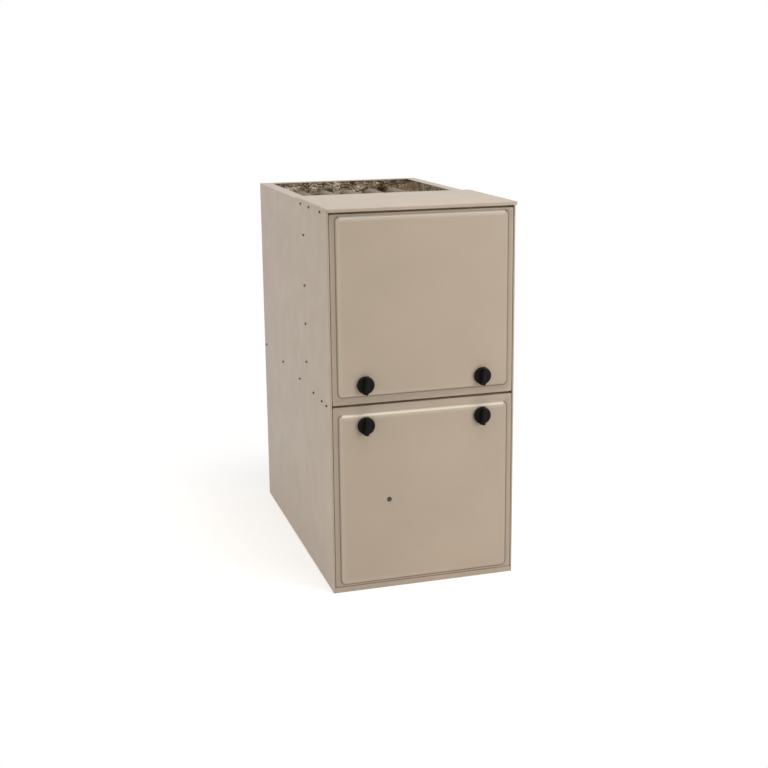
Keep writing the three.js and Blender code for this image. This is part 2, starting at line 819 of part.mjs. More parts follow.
function burnerBracket() {
  const foot = vestibuleFront - seatGap;
  const line = mirrored([[-bracketX, foot], [-bracketX, bracketDepth]]);
  const band = solid(alongZ(foldedSheet(line, sheet), -bracketHalfHeight, bracketHalfHeight));
  const holes = tubeXs.map((x) => [x, 0, burnerBodyRadius]);
  holes.push([tubeXs[0] + igniterOffset, probeRise, probeRadius]);
  holes.push([tubeXs[tubeCount - 1] - igniterOffset, probeRise, probeRadius]);
  return holes.reduce((bracket, [x, z, radius]) => {
    const hole = cylinderY(radius + seatGap, bracketDepth - sheet, bracketDepth + 2 * sheet, 10, x, z);
    return bracket.subtract(solid(hole));
  }, band);
}

// An in-shot burner: a gas and air inlet, a throat, a straight body and a flared head.
function burner() {
  const inlet = burnerBack - burnerLength;
  const outline = [
    [burnerHeadRadius, inlet],
    [burnerThroatRadius, inlet + 30],
    [burnerBodyRadius, inlet + 62],
    [burnerBodyRadius, burnerBack - 14],
    [burnerHeadRadius, burnerBack],
  ];
  const inside = outline.map(([radius, y]) => [radius - burnerWall, y]).reverse();
  return turnedY([...outline, ...inside, outline[0]], 10);
}

const manifoldEnd = bracketX + seatGap;

function gasManifold() {
  const earDepth = bracketDepth + 14;
  const halfEar = manifoldRadius - 1;
  const pipeProfile = [
    [0, -manifoldEnd],
    [manifoldRadius, -manifoldEnd],
    [manifoldRadius, manifoldEnd],
    [0, manifoldEnd],
  ];
  let manifold = solid(turnedX(pipeProfile, 16).translate(0, manifoldDepth, 0));
  [-1, 1].forEach((side) => {
    const ends = [side * manifoldEnd, side * (manifoldEnd + 2)];
    const ear = block(Math.min(...ends), Math.max(...ends), manifoldDepth, earDepth, -halfEar, halfEar);
    manifold = manifold.add(solid(ear));
  });
  tubeXs.forEach((x) => {
    const tip = burnerBack - burnerLength + 3;
    manifold = manifold.add(solid(cylinderY(nippleRadius, manifoldDepth, tip, 8, x)));
  });
  const riser = [[0, 0], [manifoldRadius - 2, 0], [manifoldRadius - 2, valveRise - seatGap]];
  riser.push([0, valveRise - seatGap]);
  return manifold.add(solid(turnedZ(riser, 12).translate(valveX, manifoldDepth, 0)));
}

const valveFront = manifoldDepth - valveThickness / 2;
const switchWidth = 12;
const switchHeight = 8;
const switchDepth = 6;
const switchZ = valveRise + valveHeight * 0.7;

function gasValve() {
  const half = valveWidth / 2;
  const outline = roundedRectangle(valveX - half, valveX + half, valveRise, valveRise + valveHeight, 6, 2);
  const body = solid(alongY(outline, valveFront, valveFront + valveThickness));
  const inletEnd = half + 18;
  const boss = [[0, 0], [16, 0], [16, inletEnd], [0, inletEnd]];
  const bore = [[0, half], [11, half], [11, 2 * half], [0, 2 * half]];
  const turnLeft = (profile) => {
    const geometry = turnedX(profile, 16).rotateZ(Math.PI);
    return solid(geometry.translate(valveX, manifoldDepth, valveRise + valveHeight / 2));
  };
  const slotHalf = switchWidth / 2 + seatGap;
  const slot = block(
    valveX - slotHalf,
    valveX + slotHalf + switchTravel,
    valveFront - 1,
    valveFront + switchDepth,
    switchZ - switchHeight / 2 - seatGap,
    switchZ + switchHeight / 2 + seatGap,
  );
  return body.add(turnLeft(boss)).subtract(turnLeft(bore)).subtract(solid(slot));
}

function gasValveSwitch() {
  const half = switchWidth / 2;
  const slider = roundedRectangle(-half, half, -switchHeight / 2, switchHeight / 2, 1.5, 2);
  return alongY(slider, -switchDepth, switchDepth - seatGap);
}

// A probe in a ceramic holder that seats on the front of the burner bracket.
function flameProbe(tipRadius, reach) {
  const profile = [
    [0, -28],
    [4, -28],
    [6, -24],
    [6, -seatGap],
    [probeRadius, -seatGap],
    [probeRadius, sheet + 4],
    [tipRadius, sheet + 4],
    [tipRadius, reach],
    [0, reach],
  ];
  return turnedY(profile, 10);
}

const buttonRadius = 3;
const buttonTravel = 2;

// A snap disc thermostat on its plate; the face is towards the front.
function rolloutSwitch() {
  const back = -seatGap;
  const front = back - 16;
  const bore = buttonRadius + seatGap;
  const profile = [
    [0, front + 8],
    [bore, front + 8],
    [bore, front],
    [9, front],
    [9, back - 2],
    [15, back - 2],
    [15, back],
    [0, back],
  ];
  return turnedY(profile, 12);
}

function rolloutButton() {
  const seat = -seatGap - 16 + 8 - seatGap - buttonTravel;
  return cylinderY(buttonRadius, seat - 12, seat, 12);
}

function limitSwitch() {
  const probe = tubeRadius / 2 - 1;
  const profile = [
    [0, -16],
    [9, -16],
    [9, -2],
    [16, -2],
    [16, -seatGap],
    [probe, -seatGap],
    [probe, 30],
    [0, 30],
  ];
  return turnedY(profile, 10);
}

const pressureRadius = 29;
const pressureRise = 36; // centre of the pressure switch above the inducer's
const pressureMargin = 3; // pressure switch to the flange of the vestibule panel
const hoseRadius = 4;
const nippleReach = 9;

function pressureSwitch() {
  const back = -seatGap;
  const profile = [
    [0, back - 34 - nippleReach],
    [3, back - 34 - nippleReach],
    [3, back - 34],
    [pressureRadius - 8, back - 34],
    [pressureRadius, back - 26],
    [pressureRadius, back - 16],
    [pressureRadius - 12, back - 10],
    [pressureRadius - 12, back],
    [0, back],
  ];
  return turnedY(profile, 16);
}

const probeRadius = 4;
piece("burner_bracket", burnerBracket(), galvanised, burnerRow);
tubeXs.forEach((x, i) => {
  piece(`burner_${i + 1}`, burner(), aluminisedSteel, burnerRow).position.x = x;
});
piece("gas_manifold", gasManifold(), darkEnamel, burnerRow);
piece("gas_valve", gasValve(), castAluminium, burnerRow);
const valveSwitch = piece("gas_valve_switch", gasValveSwitch(), redPlastic, burnerRow);
valveSwitch.position.set(valveX, valveFront, switchZ);
const probeReach = burnerBack - bracketDepth;
const igniter = piece("igniter", flameProbe(2.5, probeReach), ceramic, burnerRow);
igniter.position.set(tubeXs[0] + igniterOffset, bracketDepth, probeRise);
const sensor = piece("flame_sensor", flameProbe(1.5, probeReach), ceramic, burnerRow);
sensor.position.set(tubeXs[tubeCount - 1] - igniterOffset, bracketDepth, probeRise);

const rolloutPlace = [-wallX + 44, vestibuleFront, firstPassZ + 70];
const rollout = subgroup(furnace, ...rolloutPlace);
piece("rollout_switch", rolloutSwitch(), blackPlastic, rollout);
piece("rollout_reset_button", rolloutButton(), redPlastic, rollout);
const limit = piece("limit_switch", limitSwitch(), blackPlastic, furnace);
limit.position.set(limitSwitchX, vestibuleFront, limitSwitchZ);

const pressureX = -(wallX - sheet - pressureMargin - pressureRadius);
const pressureZ = inducerZ + pressureRise;
const pressure = piece("pressure_switch", pressureSwitch(), blackPlastic, furnace);
pressure.position.set(pressureX, vestibuleFront, pressureZ);

// A rubber hose from the pressure switch's nipple to the side of the inducer.
function pressureHose() {
  const startY = vestibuleFront - 34 - nippleReach - 3 * seatGap;
  const middleY = (inducerFront + inducerBack) / 2;
  const endX = -inducerRadius - 2 * seatGap;
  const route = new THREE.CatmullRomCurve3([
    new THREE.Vector3(pressureX, startY, pressureZ),
    new THREE.Vector3(pressureX, startY - 14, pressureZ),
    new THREE.Vector3(pressureX + 14, middleY - 4, pressureZ - 8),
    new THREE.Vector3(endX - 22, middleY, inducerZ),
    new THREE.Vector3(endX, middleY, inducerZ),
  ]);
  const section = circle(hoseRadius, 6);
  return new THREE.ExtrudeGeometry(section, { steps: 12, extrudePath: route, bevelEnabled: false });
}
piece("pressure_hose", pressureHose(), rubber, furnace);

// ---- Blower, round the axis of its wheel ----

const blower = subgroup(furnace, 0, blowerDepth, blowerHeight);
const outletTop = deckUnder - blowerHeight;
const sideFace = scrollWidth / 2 - seatGap; // the scroll's edge, inside the side plates
const railTop = outletTop - railDrop;
const flangeZ = railTop + seatGap;

// The scroll's outline from the cutoff, down the front, under the wheel and up the back.
function scrollLine() {
  const start = THREE.MathUtils.degToRad(cutoffAngle);
  const points = Array.from({ length: scrollSteps + 1 }, (_, i) => {
    const share = i / scrollSteps;
    const angle = start + (2 * Math.PI - start) * share;
    const radius = scrollStart + (scrollEnd - scrollStart) * share;
    return [radius * Math.cos(angle), radius * Math.sin(angle)];
  });
  return [[points[0][0], outletTop], ...points, [scrollEnd, outletTop]];
}

function blowerWrap() {
  return alongX(foldedSheet(scrollLine(), sheet), -sideFace, sideFace);
}

function sideOutline() {
  return new THREE.Shape(scrollLine().map(([y, z]) => new THREE.Vector2(y, z)));
}

// A side of the housing: its outline, a curled inlet ring and a flange that hangs on a rail.
// Places across the cabinet are measured outwards from the scroll and turned over for the left side.
function blowerSide(side) {
  const face = scrollWidth / 2;
  const between = (near, far) => [side * near, side * far].sort((a, b) => a - b);
  const turnedOver = (points) => {
    const placed = points.map(([radius, x]) => [radius, side * (face + x)]);
    return turnedX(side > 0 ? placed : placed.reverse(), 20);
  };
  const plate = solid(alongX(sideOutline(), ...between(face, face + sheet)));
  const hole = turnedOver([[0, -9], [inletRadius, -9], [inletRadius, 9], [0, 9]]);
  const mouth = inletRadius + inletCurl / 2;
  const curl = turnedOver([
    [inletRadius - sheet, -inletCurl],
    [inletRadius, -inletCurl],
    [mouth, 0],
    [mouth, sheet],
    [mouth - sheet, sheet],
    [inletRadius - sheet, -inletCurl],
  ]);
  const front = scrollLine()[0][0];
  const flangeX = between(face, face + sheet + sideFlange);
  const flange = block(...flangeX, front, scrollEnd, flangeZ, flangeZ + sheet);
  return plate.subtract(solid(hole)).add(solid(curl)).add(solid(flange));
}

// A forward curved wheel: blades between two rims, carried by a disc on the hub.
function blowerWheel() {
  const half = wheelWidth / 2;
  const inner = wheelRadius - bladeDepth;
  const rim = (x0, x1) =>
    turnedX([[inner, x0], [wheelRadius, x0], [wheelRadius, x1], [inner, x1], [inner, x0]], bladeCount);
  const bore = blowerShaftRadius + seatGap;
  const discThickness = 1.5;
  const hubEnd = hubLength / 2;
  const disc = turnedX(
    [
      [bore, -hubEnd],
      [hubRadius, -hubEnd],
      [hubRadius, -discThickness / 2],
      [inner + 2, -discThickness / 2],
      [inner + 2, discThickness / 2],
      [hubRadius, discThickness / 2],
      [hubRadius, hubEnd],
      [bore, hubEnd],
      [bore, -hubEnd],
    ],
    16,
  );
  let wheel = solid(disc).add(solid(rim(-half, -half + wheelRimHeight)));
  wheel = wheel.add(solid(rim(half - wheelRimHeight, half)));
  const blade = foldedSheet(
    [0, 1, 2].map((step) => {
      const radius = inner + 1.5 + ((bladeDepth - 3.5) * step) / 2;
      const lean = THREE.MathUtils.degToRad(bladeLean * step * step);
      return [radius * Math.cos(lean), radius * Math.sin(lean)];
    }),
    bladeThickness,
  );
  for (let i = 0; i < bladeCount; i++) {
    const copy = alongX(blade, -half + 1, half - 1).rotateX((2 * Math.PI * i) / bladeCount);
    wheel = wheel.add(solid(copy));
  }
  return wheel;
}

function blowerShaft() {
  const motorSeat = motorStart + 40;
  const start = -hubLength / 2 - 12;
  const r = blowerShaftRadius;
  return turnedX([[0, start], [r - 1, start], [r, start + 1], [r, motorSeat], [0, motorSeat]], 16);
}

function blowerMotor() {
  const end = motorStart + motorLength;
  const bore = blowerShaftRadius + seatGap;
  const boss = motorRadius * 0.35;
  const profile = [
    [bore, motorStart - 6],
    [boss, motorStart - 6],
    [boss, motorStart],
    [motorRadius - 8, motorStart],
    [motorRadius, motorStart + 8],
    [motorRadius, end - 8],
    [motorRadius - 8, end],
    [0, end],
    [0, motorStart + 40 + seatGap],
    [bore, motorStart + 40 + seatGap],
    [bore, motorStart - 6],
  ];
  return turnedX(profile, motorSides);
}

// A band round the motor, and arms from it to the outside of the right side plate.
function motorMount() {
  const inner = motorRadius + seatGap;
  const outer = inner + bandThickness;
  const face = scrollWidth / 2 + sheet + seatGap;
  const band = [[inner, face], [outer, face], [outer, face + bandWidth], [inner, face + bandWidth]];
  let mount = solid(turnedX([...band, band[0]], motorSides));
  const strap = 2;
  for (let i = 0; i < armCount; i++) {
    const arm = block(face, face + strap, -armWidth / 2, armWidth / 2, outer - 1, armReach);
    arm.rotateX((2 * Math.PI * i) / armCount);
    mount = mount.add(solid(arm));
  }
  return mount;
}

const railLegX = scrollWidth / 2 + sheet + sideFlange + 4;

// An angle under the deck that carries one side of the blower.
function blowerRail(side) {
  const front = scrollLine()[0][0] - 30;
  const toe = scrollWidth / 2 + sheet + 4;
  const line = [
    [side * toe, railTop - sheet],
    [side * railLegX, railTop - sheet],
    [side * railLegX, outletTop - sheet],
    [side * (railLegX + sideFlange), outletTop - sheet],
  ];
  const thickness = side * sheet;
  return alongY(foldedSheet(line, thickness), front, scrollEnd + 30);
}

piece("blower_wrap", blowerWrap(), galvanised, blower);
piece("blower_side_left", blowerSide(-1), galvanised, blower);
piece("blower_side_right", blowerSide(1), galvanised, blower);
piece("blower_wheel", blowerWheel(), galvanised, blower);
piece("blower_shaft", blowerShaft(), aluminisedSteel, blower);
piece("blower_motor", blowerMotor(), darkEnamel, blower);
piece("motor_mount", motorMount(), galvanised, blower);
piece("blower_rail_left", blowerRail(-1), galvanised, blower);
piece("blower_rail_right", blowerRail(1), galvanised, blower);

// ---- Controls in the blower compartment ----

const boardX = controlLeft + boardMargin + boardWidth / 2;
const boardZ = sightZ + lampDrop;
const boardTop = boardZ + boardHeight / 2;
const powerX = controlRight - powerMargin;
const powerZ = boardTop + powerRise;
const capacitorX = controlLeft + capacitorMargin;
const capacitorDepth = controlDepth - capacitorRadius - seatGap;
const capacitorZ = boardTop + capacitorRise;

function controlBracket() {
  const top = deckUnder;
  const line = [[controlDepth + 20, top], [controlDepth, top], [controlDepth, controlBottom]];
  return alongX(foldedSheet(line, sheet), controlLeft, controlRight);
}

// The circuit board on its posts, with relays, a plug strip, a fuse and the lamp behind the sight glass.
function controlBoard() {
  const back = -seatGap - boardStandoff;
  const front = back - boardThickness;
  const halfX = boardWidth / 2;
  const halfZ = boardHeight / 2;
  const plate = alongY(roundedRectangle(-halfX, halfX, -halfZ, halfZ, 3, 2), front, back);
  let board = solid(plate);
  const join = 0.1; // parts sink this far into the board
  [-1, 1].forEach((sx) => {
    [-1, 1].forEach((sz) => {
      const post = cylinderY(3, back - join, -seatGap, 8, sx * (halfX - 8), sz * (halfZ - 8));
      board = board.add(solid(post));
    });
  });
  const relays = [-1, 0, 1].map((i) => [i * 30 + 30, halfZ - 30, 22, 28, 18]);
  const strips = [[-52, halfZ - 16, 36, 12, 12], [10, -halfZ + 12, 110, 12, 10], [-60, -12, 14, 26, 14]];
  [...relays, ...strips].forEach(([x, z, width, height, rise]) => {
    const part = block(
      x - width / 2,
      x + width / 2,
      front - rise,
      front + join,
      z - height / 2,
      z + height / 2,
    );
    board = board.add(solid(part));
  });
  const lamp = cylinderY(2.5, front - 9, front + join, 10, sightX - boardX, sightZ - boardZ);
  return board.add(solid(lamp));
}

function transformer() {
  const centred = (width, front, back, height) =>
    solid(block(-width / 2, width / 2, front, back, -height / 2, height / 2));
  const coreFront = -footThickness - coreDepth;
  const core = centred(coreWidth, coreFront, -footThickness, coreHeight);
  const coil = centred(coilWidth, coreFront - footThickness, -seatGap, coilHeight);
  const foot = centred(footWidth, -footThickness - 0.1, -seatGap, footHeight);
  return core.add(coil).add(foot);
}

function capacitor() {
  const r = capacitorRadius;
  const top = capacitorHeight;
  const can = [[0, 0], [r - 1, 0], [r, 1], [r, top - 2], [r - 2, top], [0, top]];
  const terminal = block(-0.4 * r, 0.4 * r, -0.15 * r, 0.15 * r, top - 1, top + 8);
  return solid(turnedZ(can, 16)).add(solid(terminal));
}

const plungerZ = deckHeight - plungerDrop;
const linerBack = linerFront + linerThickness;

function doorSwitch() {
  const front = deckFront + sheet + seatGap;
  const body = block(-12, 12, front, front + 30, -8, plungerDrop - sheet - seatGap);
  const bore = cylinderY(plungerRadius + seatGap, 0, linerBack + seatGap + plungerLength + 2, 12);
  return solid(body).subtract(solid(bore));
}

function doorSwitchPlunger() {
  const tip = linerBack + seatGap;
  const end = tip + plungerLength;
  const r = plungerRadius;
  return turnedY([[0, tip], [r - 1, tip], [r, tip + 1.5], [r, end], [0, end]], 12);
}

piece("control_bracket", controlBracket(), galvanised, furnace);
const board = piece("control_board", controlBoard(), boardGreen, furnace);
board.position.set(boardX, controlDepth, boardZ);
const power = piece("transformer", transformer(), darkEnamel, furnace);
power.position.set(powerX, controlDepth, powerZ);
const start = piece("capacitor", capacitor(), aluminisedSteel, furnace);
start.position.set(capacitorX, capacitorDepth, capacitorZ);
piece("door_switch", doorSwitch(), blackPlastic, furnace).position.set(switchX, 0, plungerZ);
piece("door_switch_plunger", doorSwitchPlunger(), redPlastic, furnace).position.set(switchX, 0, plungerZ);

const root = new THREE.Group();
root.add(furnace);
export default root;
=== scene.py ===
import math

import bmesh
import bpy
from mathutils import Matrix, Vector, noise


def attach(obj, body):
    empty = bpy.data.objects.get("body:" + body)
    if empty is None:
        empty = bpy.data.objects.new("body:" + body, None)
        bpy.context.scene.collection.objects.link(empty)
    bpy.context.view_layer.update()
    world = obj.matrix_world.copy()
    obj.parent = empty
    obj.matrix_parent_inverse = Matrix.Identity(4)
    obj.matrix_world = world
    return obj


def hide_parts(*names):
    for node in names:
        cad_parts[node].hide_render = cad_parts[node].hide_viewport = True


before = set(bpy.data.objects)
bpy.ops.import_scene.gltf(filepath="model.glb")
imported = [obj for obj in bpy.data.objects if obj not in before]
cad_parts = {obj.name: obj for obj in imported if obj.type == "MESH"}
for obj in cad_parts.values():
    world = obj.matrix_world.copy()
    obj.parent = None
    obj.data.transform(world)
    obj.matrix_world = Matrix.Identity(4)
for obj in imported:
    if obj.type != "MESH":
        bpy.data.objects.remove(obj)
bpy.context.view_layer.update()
scene = bpy.context.scene

# ---- The view ----
# The camera stands to the left of the furnace and a little above its top, three metres away.
# Its angles come from the corners of the casing, and its lens frames a square picture.


def in_scene(name, data):
    made = bpy.data.objects.new(name, data)
    scene.collection.objects.link(made)
    return made


view_centre = Vector((0.0, 0.0125, 0.4445))
view_azimuth = -0.28611
view_elevation = 0.21607
view_roll = -0.01078
view_distance = 3.20722
view_across = 0.01549
view_up = 0.04756

backward = Vector((
    math.sin(view_azimuth) * math.cos(view_elevation),
    -math.cos(view_azimuth) * math.cos(view_elevation),
    math.sin(view_elevation),
))
level_right = Vector((0, 0, 1)).cross(backward).normalized()
level_up = backward.cross(level_right)
right = level_right * math.cos(view_roll) + level_up * math.sin(view_roll)
upward = level_up * math.cos(view_roll) - level_right * math.sin(view_roll)
camera_data = bpy.data.cameras.new("photograph_view")
camera_data.lens = 58.659
camera_data.shift_y = -0.05
camera_data.sensor_width = 36
camera = in_scene("photograph_view", camera_data)
turn = Matrix((right, upward, backward)).transposed()
place = view_centre + right * view_across + upward * view_up + backward * view_distance
camera.matrix_world = Matrix.Translation(place) @ turn.to_4x4()
scene.camera = camera
scene.view_settings.view_transform = "Standard"

# ---- The studio ----
# A pale floor that turns white with distance, a soft box above the front, one at the front right
# and a wide warm one at the left. At their levels the enamel shows at about its own colour.


def add_node(tree, kind, inputs=None, **settings):
    made = tree.nodes.new(kind)
    for key, value in settings.items():
        setattr(made, key, value)
    for key, value in (inputs or {}).items():
        if isinstance(value, bpy.types.NodeSocket):
            tree.links.new(value, made.inputs[key])
        else:
            made.inputs[key].default_value = value
    return made


def reckoned(tree, operation, first, second):
    """A sum, a product or the like of two values, as a socket."""
    return add_node(tree, "ShaderNodeMath", {0: first, 1: second}, operation=operation).outputs[0]


def seen_directly(tree):
    """1 for rays from the camera, and for those by which metal and glass show the surroundings."""
    path = add_node(tree, "ShaderNodeLightPath").outputs
    glossy = reckoned(tree, "MAXIMUM", path["Is Camera Ray"], path["Is Glossy Ray"])
    return reckoned(tree, "MAXIMUM", glossy, path["Is Transmission Ray"])


world = bpy.data.worlds.new("studio")
scene.world = world
world.use_nodes = True
sky = world.node_tree
sky.nodes.clear()
sky_light = add_node(sky, "ShaderNodeBackground", {"Color": (1, 1, 1, 1), "Strength": 0.38})
sky_white = add_node(sky, "ShaderNodeBackground", {"Color": (1, 1, 1, 1), "Strength": 1.0})
sky_mix = add_node(sky, "ShaderNodeMixShader",
                   {0: seen_directly(sky), 1: sky_light.outputs[0], 2: sky_white.outputs[0]})
add_node(sky, "ShaderNodeOutputWorld", {"Surface": sky_mix.outputs[0]})

floor_mesh = bpy.data.meshes.new("floor")
floor_reach = 9.0
floor_mesh.from_pydata(
    [(-floor_reach, -floor_reach, -0.0004), (floor_reach, -floor_reach, -0.0004),
     (floor_reach, floor_reach, -0.0004), (-floor_reach, floor_reach, -0.0004)],
    [], [(0, 1, 2, 3)])
studio_floor = in_scene("floor", floor_mesh)
floor_finish = bpy.data.materials.new("pale_floor")
floor_finish.use_nodes = True
floor_tree = floor_finish.node_tree
floor_tree.nodes.clear()
floor_matt = add_node(floor_tree, "ShaderNodeBsdfDiffuse", {"Color": (0.82, 0.815, 0.80, 1)})
floor_glow = add_node(floor_tree, "ShaderNodeEmission", {"Color": (1, 1, 1, 1), "Strength": 0.55})
floor_near = add_node(floor_tree, "ShaderNodeAddShader",
                      {0: floor_matt.outputs[0], 1: floor_glow.outputs[0]})
floor_white = add_node(floor_tree, "ShaderNodeEmission", {"Color": (1, 1, 1, 1), "Strength": 1.0})
floor_place = add_node(floor_tree, "ShaderNodeTexCoord").outputs["Object"]
floor_distance = add_node(floor_tree, "ShaderNodeVectorMath", {0: floor_place}, operation="LENGTH")
floor_far = add_node(floor_tree, "ShaderNodeMapRange",
                     {"Value": floor_distance.outputs["Value"], "From Min": 0.45, "From Max": 1.25},
                     interpolation_type="SMOOTHSTEP")
floor_seen = add_node(floor_tree, "ShaderNodeMixShader",
                      {0: floor_far.outputs[0], 1: floor_near.outputs[0], 2: floor_white.outputs[0]})
floor_mix = add_node(floor_tree, "ShaderNodeMixShader",
                     {0: seen_directly(floor_tree), 1: floor_matt.outputs[0], 2: floor_seen.outputs[0]})
add_node(floor_tree, "ShaderNodeOutputMaterial", {"Surface": floor_mix.outputs[0]})
floor_mesh.materials.append(floor_finish)


def soft_box(name, position, aim, width, height, power, colour):
    data = bpy.data.lights.new(name, "AREA")
    data.shape = "RECTANGLE"
    data.size = width
    data.size_y = height
    data.energy = power
    data.color = colour
    lamp = in_scene(name, data)
    lamp.location = position
    lamp.rotation_euler = (Vector(aim) - Vector(position)).to_track_quat("-Z", "Y").to_euler()


soft_box("overhead_box", (0.35, -0.75, 3.1), (0, -0.3, 0.8), 1.3, 1.0, 29, (1.0, 0.975, 0.94))
soft_box("front_right_box", (1.25, -1.8, 0.75), (0, -0.35, 0.4), 0.8, 1.0, 11.5, (1.0, 0.97, 0.945))
soft_box("left_box", (-3.1, -1.0, 1.6), (0, 0, 0.5), 1.8, 1.8, 20.5, (1.0, 0.89, 0.775))

# ---- The casing ----
# One sheet of pre-painted steel, a millimetre thick, wrapped round the left side, the back and
# the right side. Its front edges are folded to a narrow nose and a return flange for the doors,
# and its top and foot are folded inwards, to carry the duct and to stand on.
depth_origin = 362.0


def metres(x, depth, z):
    """A place given in millimetres, with its depth from the front edge of the casing."""
    return Vector((x / 1000, (depth - depth_origin) / 1000, z / 1000))


def filleted(points, radius, steps=5, hold=0.3):
    """A line of flat points with its corners rounded, and a point held near each side of a corner."""
    line = [Vector(p) for p in points]
    out = [line[0]]
    for before, corner, after in zip(line, line[1:], line[2:]):
        arm_in = (before - corner)
        arm_out = (after - corner)
        room = min(arm_in.length, arm_out.length) * 0.46
        arm_in.normalize()
        arm_out.normalize()
        half = arm_in.angle(arm_out) / 2
        cut = min(radius / math.tan(half), room)
        bend = cut * math.tan(half)
        centre = corner + (arm_in + arm_out).normalized() * (bend / math.sin(half))
        start = corner + arm_in * cut
        end = corner + arm_out * cut
        out.append(corner + arm_in * min(cut + hold, room * 1.05))
        first = start - centre
        sweep = first.angle_signed(end - centre)
        for step in range(steps + 1):
            spin = -sweep * step / steps
            c, s = math.cos(spin), math.sin(spin)
            out.append(centre + Vector((first.x * c - first.y * s, first.x * s + first.y * c)))
        out.append(corner + arm_out * min(cut + hold, room * 1.05))
    out.append(line[-1])
    return out


def loft(shape, rings, closed=False, cap_start=False, cap_end=False):
    """Skins rings of places, in order; each ring has as many points as the first."""
    rows = [[shape.verts.new(p) for p in ring] for ring in rings]
    count = len(rows[0])
    for low, high in zip(rows, rows[1:]):
        for i in range(count if closed else count - 1):
            j = (i + 1) % count
            shape.faces.new((low[i], low[j], high[j], high[i]))
    if cap_start:
        shape.faces.new(rows[0][::-1])
    if cap_end:
        shape.faces.new(rows[-1])
    return rows


def plain_copy(piece):
    """Turns a piece with modifiers into one plain mesh."""
    bpy.context.view_layer.update()
    view = bpy.context.evaluated_depsgraph_get()
    mesh = bpy.data.meshes.new_from_object(piece.evaluated_get(view))
    piece.modifiers.clear()
    old = piece.data
    piece.data = mesh
    bpy.data.meshes.remove(old)
    return piece


def coated(mesh, finish):
    mesh.materials.clear()
    mesh.materials.append(finish)


def make_piece(name, shape, finish, wall=0.0, flip=False, sharp=38, weld=1e-6):
    """A piece from its bmesh: welded, walled inwards from its skin and shaded by its folds."""
    bmesh.ops.remove_doubles(shape, verts=shape.verts, dist=weld)
    bmesh.ops.dissolve_degenerate(shape, edges=shape.edges, dist=weld)
    if flip:
        bmesh.ops.reverse_faces(shape, faces=shape.faces)
    mesh = bpy.data.meshes.new(name)
    shape.to_mesh(mesh)
    shape.free()
    piece = in_scene(name, mesh)
    if wall:
        thicken = piece.modifiers.new("wall", "SOLIDIFY")
        thicken.thickness = wall
        thicken.offset = -1
        thicken.use_even_offset = True
        plain_copy(piece)
        mesh = piece.data
    coated(mesh, finish)
    for face in mesh.polygons:
        face.use_smooth = True
    mesh.set_sharp_from_angle(angle=math.radians(sharp))
    return piece


def fit(piece, body, slot, *cad_nodes):
    """The piece takes the place of its CAD nodes and moves with their body."""
    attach(piece, body)
    if cad_nodes:
        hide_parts(*cad_nodes)
    return piece


def shader_group(name, sockets_in, sockets_out):
    tree = bpy.data.node_groups.new(name, "ShaderNodeTree")
    kinds = {"v": "NodeSocketVector", "f": "NodeSocketFloat", "c": "NodeSocketColor"}
    for label, kind in sockets_in:
        tree.interface.new_socket(label, in_out="INPUT", socket_type=kinds[kind])
    for label, kind in sockets_out:
        tree.interface.new_socket(label, in_out="OUTPUT", socket_type=kinds[kind])
    return tree, tree.nodes.new("NodeGroupInput").outputs, tree.nodes.new("NodeGroupOutput")


# Slow clouds of tone over a painted or rolled surface, between two brightnesses.
cloudy_tone, given, result = shader_group(
    "cloudy_tone", [("Vector", "v"), ("Scale", "f"), ("Low", "f"), ("High", "f")], [("Tone", "f")])
broad = add_node(cloudy_tone, "ShaderNodeTexNoise",
                 {"Vector": given["Vector"], "Scale": given["Scale"], "Detail": 4, "Roughness": 0.55})
spread = add_node(cloudy_tone, "ShaderNodeMapRange",
                  {"Value": broad.outputs["Fac"], "From Min": 0.32, "From Max": 0.68,
                   "To Min": given["Low"], "To Max": given["High"]})
cloudy_tone.links.new(spread.outputs[0], result.inputs["Tone"])

# The fine skin of stoved paint or a moulded surface: small hills, and pores between them.
orange_peel, given, result = shader_group(
    "orange_peel", [("Vector", "v"), ("Size", "f")], [("Height", "f"), ("Speck", "f")])
per_metre = reckoned(orange_peel, "DIVIDE", 1.0, given["Size"])
hills = add_node(orange_peel, "ShaderNodeTexNoise",
                 {"Vector": given["Vector"], "Scale": per_metre, "Detail": 2, "Roughness": 0.5})
finer = reckoned(orange_peel, "MULTIPLY", per_metre, 2.7)
pores = add_node(orange_peel, "ShaderNodeTexNoise",
                 {"Vector": given["Vector"], "Scale": finer, "Detail": 1})
orange_peel.links.new(hills.outputs["Fac"], result.inputs["Height"])
specks = add_node(orange_peel, "ShaderNodeMapRange",
                  {"Value": pores.outputs["Fac"], "From Min": 0.35, "From Max": 0.65})
orange_peel.links.new(specks.outputs[0], result.inputs["Speck"])

# Dust that settles on faces that look up, thicker in patches.
settled_dust, given, result = shader_group(
    "settled_dust", [("Vector", "v"), ("Amount", "f")], [("Mask", "f")])
facing = add_node(settled_dust, "ShaderNodeNewGeometry").outputs["Normal"]
facing_up = add_node(settled_dust, "ShaderNodeSeparateXYZ", {0: facing}).outputs["Z"]
level = add_node(settled_dust, "ShaderNodeMapRange",
                 {"Value": facing_up, "From Min": 0.5, "From Max": 1.0, "To Max": given["Amount"]})
patches = add_node(settled_dust, "ShaderNodeTexNoise",
                   {"Vector": given["Vector"], "Scale": 11, "Detail": 5})
dusted = reckoned(settled_dust, "MULTIPLY", level.outputs[0], patches.outputs["Fac"])
settled_dust.links.new(dusted, result.inputs["Mask"])


def srgb(red, green, blue):
    """A colour as it is read off a screen, made linear."""
    def linear(value):
        value /= 255
        return value / 12.92 if value <= 0.04045 else ((value + 0.055) / 1.055) ** 2.4
    return (linear(red), linear(green), linear(blue), 1)


